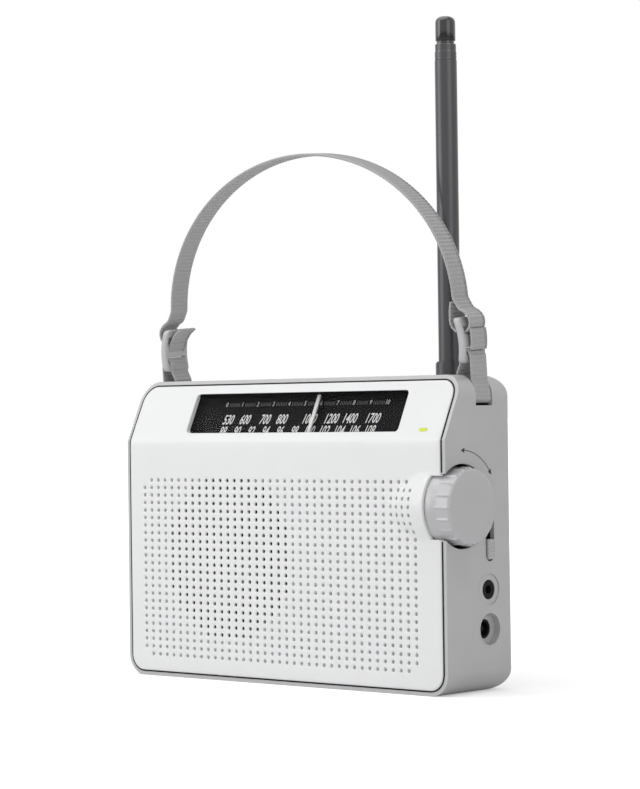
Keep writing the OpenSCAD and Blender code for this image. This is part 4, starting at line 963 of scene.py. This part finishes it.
def buckle_mesh(side):
    """A buckle: a plate in y and z with two slots and round edges and corners, bent by buckle_bow and leaning
    with the strap."""
    bevel = 0.75 * MM
    half, side_bar, end_bar, slot, middle_bar = 6.7 * MM, 1.75 * MM, 2.3 * MM, 5.3 * MM, 2.8 * MM
    bases = (end_bar, end_bar + slot + middle_bar)
    across = [-half + bevel, -half + side_bar - bevel, -half / 2, 0, half / 2, half - side_bar + bevel,
              half - bevel]
    slots = [np.linspace(base - bevel, base + slot + bevel, 6) for base in bases]
    ends = [bevel, 1.4 * MM, 18 * MM - 1.4 * MM, 18 * MM - bevel]
    up = BUCKLE_LOW + np.sort(np.concatenate([ends, *slots]))

    def keep(u, v):
        in_slot = np.zeros(u.shape, bool)
        for base in bases:
            in_slot |= (v > BUCKLE_LOW + base) & (v < BUCKLE_LOW + base + slot)
        return ~(in_slot & (np.abs(u) < half - side_bar))
    flat, faces = plate(np.array(across), up, keep, bevel, 3.2 * MM,
                        corner_bend((-half + bevel, BUCKLE_LOW + bevel), (half - bevel, BUCKLE_HIGH - bevel),
                                    1.2 * MM))
    x = BUCKLE_X - 1.6 * MM + flat[:, 2] - buckle_bow(flat[:, 1])
    points = np.stack([side * x, STRAP_Y + flat[:, 0], flat[:, 1]], 1)
    return leaning(points), faces


# ---------- aerial ----------

def turned(profile):
    """A profile turned about the aerial's own axis."""
    return lathe(profile, (AERIAL_X, AERIAL_Y, 0), "z", 72)


def ring_profile(inner, outer, bottom, top, round_off):
    """Closed profile of a tube with rounded outer ends."""
    return [(inner, bottom), (outer - round_off, bottom), (outer, bottom + round_off),
            (outer, top - round_off), (outer - round_off, top), (inner, top)]


def tube_mesh(node, inner, round_off):
    """A closed turned tube in the place of an upright CAD node."""
    radius = (high(node)[0] - low(node)[0]) / 2
    profile = np.array(ring_profile(inner, radius, low(node)[2], high(node)[2], round_off))
    return turned(np.vstack([profile, profile[:1]]))


def band_mesh(node, bottom, inner):
    """A sleeve over the band at a section's top: a tube with rounded ends that stands 0.05 mm outside the
    band all round, from bottom to the section's top."""
    radius = (high(node)[0] - low(node)[0]) / 2 + 0.05 * MM
    profile = np.array(ring_profile(inner, radius, bottom, high(node)[2] + 0.03 * MM, 0.25 * MM))
    return turned(np.vstack([profile, profile[:1]]))


def cap_mesh():
    """The cap: a turned profile with a waist above its foot and an elliptic top."""
    r = (high("aerial_cap")[0] - low("aerial_cap")[0]) / 2
    bottom, top = low("aerial_cap")[2], high("aerial_cap")[2]
    angle = np.radians(np.linspace(0, 90, 9))
    dome = np.stack([r * np.cos(angle) ** 0.7, top - 2.6 * MM + 2.6 * MM * np.sin(angle)], 1)
    dome[-1, 0] = 0
    rows = np.vstack([[(0, bottom), (r - 0.5 * MM, bottom), (r - 0.5 * MM, bottom + 1 * MM),
                       (r - 0.1 * MM, bottom + 1.2 * MM), (r, bottom + 1.5 * MM)], dome])
    return turned(rows)


# ---------- small side parts ----------

SOCKET_Y, HEADPHONE_Z, POWER_Z, RIM_STAND = 7 * MM, 39.6 * MM, 24.3 * MM, 0.15 * MM


def socket_ring(z, inner, outer, stand):
    """A turned rim round a socket on the right side, with a rounded lip."""
    sunk, lip = -0.5 * MM, 0.25 * MM
    profile = [(inner, sunk), (outer, sunk), (outer, stand / 2), (outer - lip, stand), (inner + lip, stand),
               (inner, stand / 2), (inner, sunk)]
    return lathe(profile, (CASE_HIGH[0], SOCKET_Y, z), "x", 64)


def ridges(places, half_width, height, half_length):
    """Rounded ridges along z, one at each (across, up): each is a bar whose section is a half ellipse, closed
    and drawn in at both ends. Returns (across, out, up) points, where out is the height above the surface."""
    turn = np.linspace(0, math.pi, 7)
    along = np.array([-1, -0.94, 0.94, 1]) * half_length
    shrink = np.array([0.05, 1, 1, 0.05])[:, None]
    points, faces = [], []
    for number, (across, up) in enumerate(places):
        x = across + half_width * np.cos(turn) * shrink
        out = height * np.sin(turn) * shrink - 0.05 * MM
        points.append(np.stack([x, out, up + along[:, None] + 0 * x], -1).reshape(-1, 3))
        faces += [grid_faces(4, 7, wrap_columns=True) + 28 * number, np.arange(7)[None, ::-1] + 28 * number,
                  np.arange(21, 28)[None] + 28 * number]
    return np.vstack(points), faces


def door_grip_mesh():
    """Seven ridges across the battery door's pull."""
    centre_x, centre_z = high("battery_door")[0] - 6 * MM, middle("battery_door")[2]
    places = [(centre_x + k * 1.3 * MM, centre_z) for k in range(-3, 4)]
    points, faces = ridges(places, 0.4 * MM, 0.4 * MM, 7 * MM)
    return points + [0, high("battery_door")[1], 0], faces


# ---------- finishes of the CAD nodes ----------

NODE_FINISH = {
    "rear_case": "cabinet", "dial_window": "lens", "dial_plate": "dial", "dial_frame": "black_matt",
    "pointer_rail": "steel", "pointer": "dial_print", "pulley_front": "nylon", "pulley_rear": "nylon",
    "pulley_left": "nylon", "dial_cord": "cord", "signal_lamp": "lamp", "tuning_shaft": "steel",
    "tuning_bracket": "steel", "tuning_capacitor": "aluminium", "capacitor_gear": "nylon",
    "speaker_frame": "steel", "speaker_magnet": "ferrite", "speaker_cone": "paper", "speaker_screws": "steel",
    "circuit_board": "board", "board_screws": "steel", "radio_chip": "epoxy",
    "electrolytic_capacitors": "sleeve", "coil_cans": "aluminium", "ferrite_rod": "ferrite",
    "rod_coil": "copper", "rod_clips": "nylon", "headphone_jack": "black_matt", "power_jack": "black_matt",
    "band_switch": "steel", "band_slider": "cabinet", "volume_board": "board", "volume_control": "black_matt",
    "volume_wheel": "trim", "battery_cells": "cell", "battery_contacts": "bright_steel",
    "battery_door": "cabinet", "case_screws": "steel", "aerial_swivel": "black_matt", "aerial_pin": "steel",
    "aerial_foot": "aerial", "aerial_section_2": "aerial_bright", "aerial_section_3": "aerial_bright",
    "aerial_rod": "aerial_bright",
}


# ---------- operators ----------

class RADIO_OT_finishes(bpy.types.Operator):
    """Makes every finish and gives each frame part its own"""
    bl_idname = "radio.finishes"
    bl_label = "Finishes"

    def execute(self, context):
        make_materials(context.scene.radio_colours)
        for name, key in NODE_FINISH.items():
            part = frame["nodes"][name]
            for slot in part.material_slots:
                slot.material = MATERIALS[key]
        return {"FINISHED"}


class RADIO_OT_front_panel(bpy.types.Operator):
    """Builds the front panel, the wall behind the knob, the window's liner, a black strip of painted shade
    along the seam, and the cloth
    """
    bl_idname = "radio.front_panel"
    bl_label = "Front panel"

    def execute(self, context):
        points, faces = front_panel_mesh(context.scene.radio_sizes)
        make_piece("front_shell", points, faces, "case", "panel", ["front_panel"])
        rows = [(SHAFT_HOLE_R, -2 * MM), (KNOB_WALL_R, -2 * MM), (KNOB_WALL_R, -0.2 * MM),
                (KNOB_WALL_R - 0.2 * MM, 0), (SHAFT_HOLE_R, 0), (SHAFT_HOLE_R, -2 * MM)]
        points, faces = lathe(rows, (FAIRING_X1, KNOB_Y, KNOB_Z), "x", 96)
        make_piece("knob_wall", points, faces, "case", "panel")
        points, faces = window_liner_mesh()
        make_piece("window_liner", points, faces, "case", "dial")
        # a black strip on the cabinet's edge round the panel: painted shade of the groove between panel and
        # cabinet
        points, faces = seam_mesh()
        make_piece("panel_seam_shade", points, faces, "case", "black_matt")
        back = FRONT_Y + PANEL_DEPTH + 0.04 * MM
        rows = [(0, 0), (OPEN_RADIUS + 1.5 * MM, 0), (OPEN_RADIUS + 1.5 * MM, 0.08 * MM), (0, 0.08 * MM)]
        points, faces = lathe(rows, (SPEAKER[0], back, SPEAKER[1]), "y", 96)
        make_piece("speaker_cloth", points, faces, "case", "cloth")
        return {"FINISHED"}


class RADIO_OT_knob(bpy.types.Operator):
    """Builds the ribbed tuning knob and the arrow printed around it"""
    bl_idname = "radio.knob"
    bl_label = "Tuning knob"

    def execute(self, context):
        sizes = context.scene.radio_sizes
        points, faces = knob_mesh(sizes)
        make_piece("ribbed_knob", points, faces, "knob", "knob", ["tuning_knob"])
        points, faces = arrow_mesh(sizes.print_lift)
        make_piece("turn_arrow", points, faces, "case", "mark_print")
        return {"FINISHED"}


class RADIO_OT_dial(bpy.types.Operator):
    """Prints the dial's scales on its plate"""
    bl_idname = "radio.dial"
    bl_label = "Dial print"

    def execute(self, context):
        lift = context.scene.radio_sizes.print_lift
        small, large = dial_words()
        points, faces = printed(large, lift)
        make_piece("dial_numbers", points, faces, "case", "dial_print", closed=False)
        points, faces = printed(small, lift)
        make_piece("scale_numbers", points, faces, "case", "scale_print", closed=False)
        ticks = [(SCALE_X + SCALE_STEP * k / 10, TICK_UP, 0.2 * MM, 1.6 * MM)
                 for k in range(101) if 2 <= k % 10 <= 8]
        points, faces = bars(ticks, lift)
        make_piece("scale_ticks", points, faces, "case", "tick_print")
        points, faces = bars([(x * MM, 22.9 * MM, 1.1 * MM, 1.3 * MM) for x in (-37.2, 49.4)], lift)
        make_piece("end_marks", points, faces, "case", "dial_print")
        return {"FINISHED"}


class RADIO_OT_strap(bpy.types.Operator):
    """Weaves the strap, its two loops, its inner fold and its two loose ends"""
    bl_idname = "radio.strap"
    bl_label = "Carrying strap"

    def execute(self, context):
        sizes = context.scene.radio_sizes
        points, faces, uv = webbing(strap_line(), sizes)
        make_piece("strap_webbing", points, faces, "strap", "webbing", ["carrying_strap"], uv=uv)
        for side, name in ((-1, "left"), (1, "right")):
            points, faces, uv = webbing(loop_line(), sizes, lean=False)
            points = points * [side, 1, 1]
            ends = ("case", "strap", (0, STRAP_Y, CASE_HIGH[2]), (0, STRAP_Y, BUCKLE_LOW))
            make_piece("loop_" + name, points, faces, ends, "webbing",
                       ["strap_loop_" + name], uv=uv)
        points, faces, uv = webbing(FOLD_LINE, sizes)
        make_piece("inner_fold", points, faces, "strap", "webbing", uv=uv)
        for name, line in TAIL_LINES.items():
            points, faces, uv = webbing(line, sizes)
            make_piece(name, points, faces, "strap", "webbing", uv=uv)
        return {"FINISHED"}


class RADIO_OT_buckles(bpy.types.Operator):
    """Moulds the two strap buckles"""
    bl_idname = "radio.buckles"
    bl_label = "Buckles"

    def execute(self, context):
        for side, name in ((-1, "left"), (1, "right")):
            points, faces = buckle_mesh(side)
            make_piece("slide_buckle_" + name, points, faces, "strap", "buckle",
                       ["buckle_" + name])
        return {"FINISHED"}


class RADIO_OT_aerial(bpy.types.Operator):
    """Turns the aerial's outer tube, its two bands and its cap"""
    bl_idname = "radio.aerial"
    bl_label = "Aerial"

    def execute(self, context):
        radius = (high("aerial_tube")[0] - low("aerial_tube")[0]) / 2
        points, faces = tube_mesh("aerial_tube", radius - 0.5 * MM, 0.25 * MM)
        make_piece("aerial_outer", points, faces, "aerial", "aerial", ["aerial_tube"])
        bore = (high("aerial_rod")[0] - low("aerial_rod")[0]) / 2 + 0.4 * MM
        for number, below in ((2, "aerial_tube"), (3, "aerial_section_2")):
            points, faces = band_mesh("aerial_section_%d" % number, high(below)[2] + 0.17 * MM, bore)
            make_piece("aerial_band_%d" % number, points, faces, "aerial_%d" % number,
                       "aerial")
        points, faces = cap_mesh()
        make_piece("aerial_tip", points, faces, "aerial_4", "black_gloss", ["aerial_cap"])
        return {"FINISHED"}


class RADIO_OT_side_parts(bpy.types.Operator):
    """Adds the sockets' rims and the battery door's grip"""
    bl_idname = "radio.side_parts"
    bl_label = "Sockets and door grip"

    def execute(self, context):
        points, faces = socket_ring(HEADPHONE_Z, 6.1 * MM, 6.9 * MM, RIM_STAND)
        make_piece("headphone_rim", points, faces, "case", "cabinet")
        points, faces = socket_ring(POWER_Z, 6.2 * MM, 7.0 * MM, RIM_STAND)
        make_piece("power_rim", points, faces, "case", "cabinet")
        points, faces = door_grip_mesh()
        make_piece("door_grip", points, faces, "battery_door", "cabinet")
        return {"FINISHED"}


class RADIO_OT_stage(bpy.types.Operator):
    """Sets the floor, the soft lamps, the white surround and the camera"""
    bl_idname = "radio.stage"
    bl_label = "Stage"

    def execute(self, context):
        scene = context.scene
        scene.view_settings.view_transform = "Standard"
        make_floor()
        make_world(scene)
        make_lamps(scene)
        make_camera(scene)
        return {"FINISHED"}


NEAR_GLOW, FAR_GLOW, FLOOR_HALF = 0.35, 1.0, 60


def make_floor():
    """A very wide pale floor. What the camera sees of it is raised by a glow that grows with the distance
    from the radio, from NEAR_GLOW to FAR_GLOW, so that it stays white to its edge and keeps the shadow."""
    corners = [(x * FLOOR_HALF, y * FLOOR_HALF, 0) for x, y in ((-1, -1), (1, -1), (1, 1), (-1, 1))]
    mesh = bpy.data.meshes.new("floor")
    mesh.from_pydata(corners, [], [(0, 1, 2, 3)])
    floor = bpy.data.objects.new("floor", mesh)
    bpy.context.scene.collection.objects.link(floor)
    material, tree, shader = new_material("floor")
    shader.inputs["Base Color"].default_value = (0.86, 0.86, 0.86, 1)
    shader.inputs["Roughness"].default_value = 0.9
    shader.inputs["Specular IOR Level"].default_value = 0.1
    distance = node(tree, "ShaderNodeVectorMath", operation="LENGTH")
    link(tree, node(tree, "ShaderNodeTexCoord").outputs["Object"], distance.inputs[0])
    reach = ranged(tree, distance.outputs["Value"], NEAR_GLOW, FAR_GLOW, 0.25, 1.6)
    glow = node(tree, "ShaderNodeEmission")
    path = node(tree, "ShaderNodeLightPath")
    shown = node(tree, "ShaderNodeMath", operation="MULTIPLY")
    link(tree, path.outputs["Is Camera Ray"], shown.inputs[0])
    link(tree, reach, shown.inputs[1])
    link(tree, shown.outputs[0], glow.inputs["Strength"])
    both = node(tree, "ShaderNodeAddShader")
    link(tree, shader.outputs[0], both.inputs[0])
    link(tree, glow.outputs[0], both.inputs[1])
    link(tree, both.outputs[0], tree.nodes["Material Output"].inputs["Surface"])
    mesh.materials.append(material)


def make_world(scene):
    """Soft even light all round, seen as white by the camera, mirrors and clear parts."""
    world = bpy.data.worlds.new("surround")
    world.use_nodes = True
    tree = world.node_tree
    ground = tree.nodes["Background"]
    ground.inputs["Color"].default_value = (1, 1, 1, 1)
    path = node(tree, "ShaderNodeLightPath")
    seen = node(tree, "ShaderNodeMath", operation="MAXIMUM")
    link(tree, path.outputs["Is Camera Ray"], seen.inputs[0])
    link(tree, path.outputs["Is Transmission Ray"], seen.inputs[1])
    shiny = node(tree, "ShaderNodeMath", operation="MAXIMUM")
    link(tree, seen.outputs[0], shiny.inputs[0])
    link(tree, path.outputs["Is Glossy Ray"], shiny.inputs[1])
    strength = ranged(tree, shiny.outputs[0], 0.42, 1.0, 0, 1)
    link(tree, strength, ground.inputs["Strength"])
    scene.world = world


def make_lamps(scene):
    """Three large soft lamps: above, left front and a weak one on the right side."""
    lamps = (("lamp_top", (-0.2, -0.3, 1.5), 1.6, 14), ("lamp_left", (-1.2, -1.4, 0.7), 1.2, 10),
             ("lamp_right", (1.5, -0.4, 0.6), 1.0, 3.5))
    for name, place, width, power in lamps:
        data = bpy.data.lights.new(name, "AREA")
        data.shape = "SQUARE"
        data.size = width
        data.energy = power
        lamp = bpy.data.objects.new(name, data)
        lamp.location = place
        way = np.array([0, 0, 0.08]) - np.array(place)
        lamp.rotation_euler = Vector(way).to_track_quat("-Z", "Y").to_euler()
        scene.collection.objects.link(lamp)


def make_camera(scene):
    """The camera, level with the upper half of the case and to its right."""
    data = bpy.data.cameras.new("camera")
    data.sensor_width = 36
    data.sensor_fit = "AUTO"
    data.lens = 121.58
    data.shift_x, data.shift_y = -0.00069, -0.00147
    data.clip_end = 50
    camera = bpy.data.objects.new("camera", data)
    right = Vector((0.74878548, 0.66267900, -0.01329853))
    up = Vector((0.01538611, 0.00268004, 0.99987804))
    back = Vector((0.66263381, -0.74889877, -0.00818927))
    camera.matrix_world = Matrix((right, up, back)).transposed().to_4x4()
    camera.location = (0.721372, -0.808306, 0.107935)
    scene.collection.objects.link(camera)
    scene.camera = camera


STEPS = (RADIO_OT_finishes, RADIO_OT_front_panel, RADIO_OT_knob, RADIO_OT_dial, RADIO_OT_strap,
         RADIO_OT_buckles, RADIO_OT_aerial, RADIO_OT_side_parts, RADIO_OT_stage)


class RADIO_PT_steps(bpy.types.Panel):
    """Lists the radio's steps, sizes and colours"""
    bl_idname = "RADIO_PT_steps"
    bl_label = "Portable radio"
    bl_space_type = "VIEW_3D"
    bl_region_type = "UI"
    bl_category = "Radio"

    def draw(self, context):
        for step in STEPS:
            self.layout.operator(step.bl_idname)
        for group in (context.scene.radio_sizes, context.scene.radio_colours):
            box = self.layout.box()
            for name in group.__annotations__:
                box.prop(group, name)


CLASSES = (RadioSizes, RadioColours, *STEPS, RADIO_PT_steps)


def register():
    """Adds the classes and the two groups of settings."""
    for made in CLASSES:
        bpy.utils.register_class(made)
    bpy.types.Scene.radio_sizes = PointerProperty(type=RadioSizes)
    bpy.types.Scene.radio_colours = PointerProperty(type=RadioColours)


def unregister():
    """Removes what register added."""
    del bpy.types.Scene.radio_colours
    del bpy.types.Scene.radio_sizes
    for made in reversed(CLASSES):
        bpy.utils.unregister_class(made)


def main():
    """Builds the radio step by step."""
    register()
    for step in STEPS:
        group, name = step.bl_idname.split(".")
        getattr(getattr(bpy.ops, group), name)()


if __name__ == "__main__":
    main()
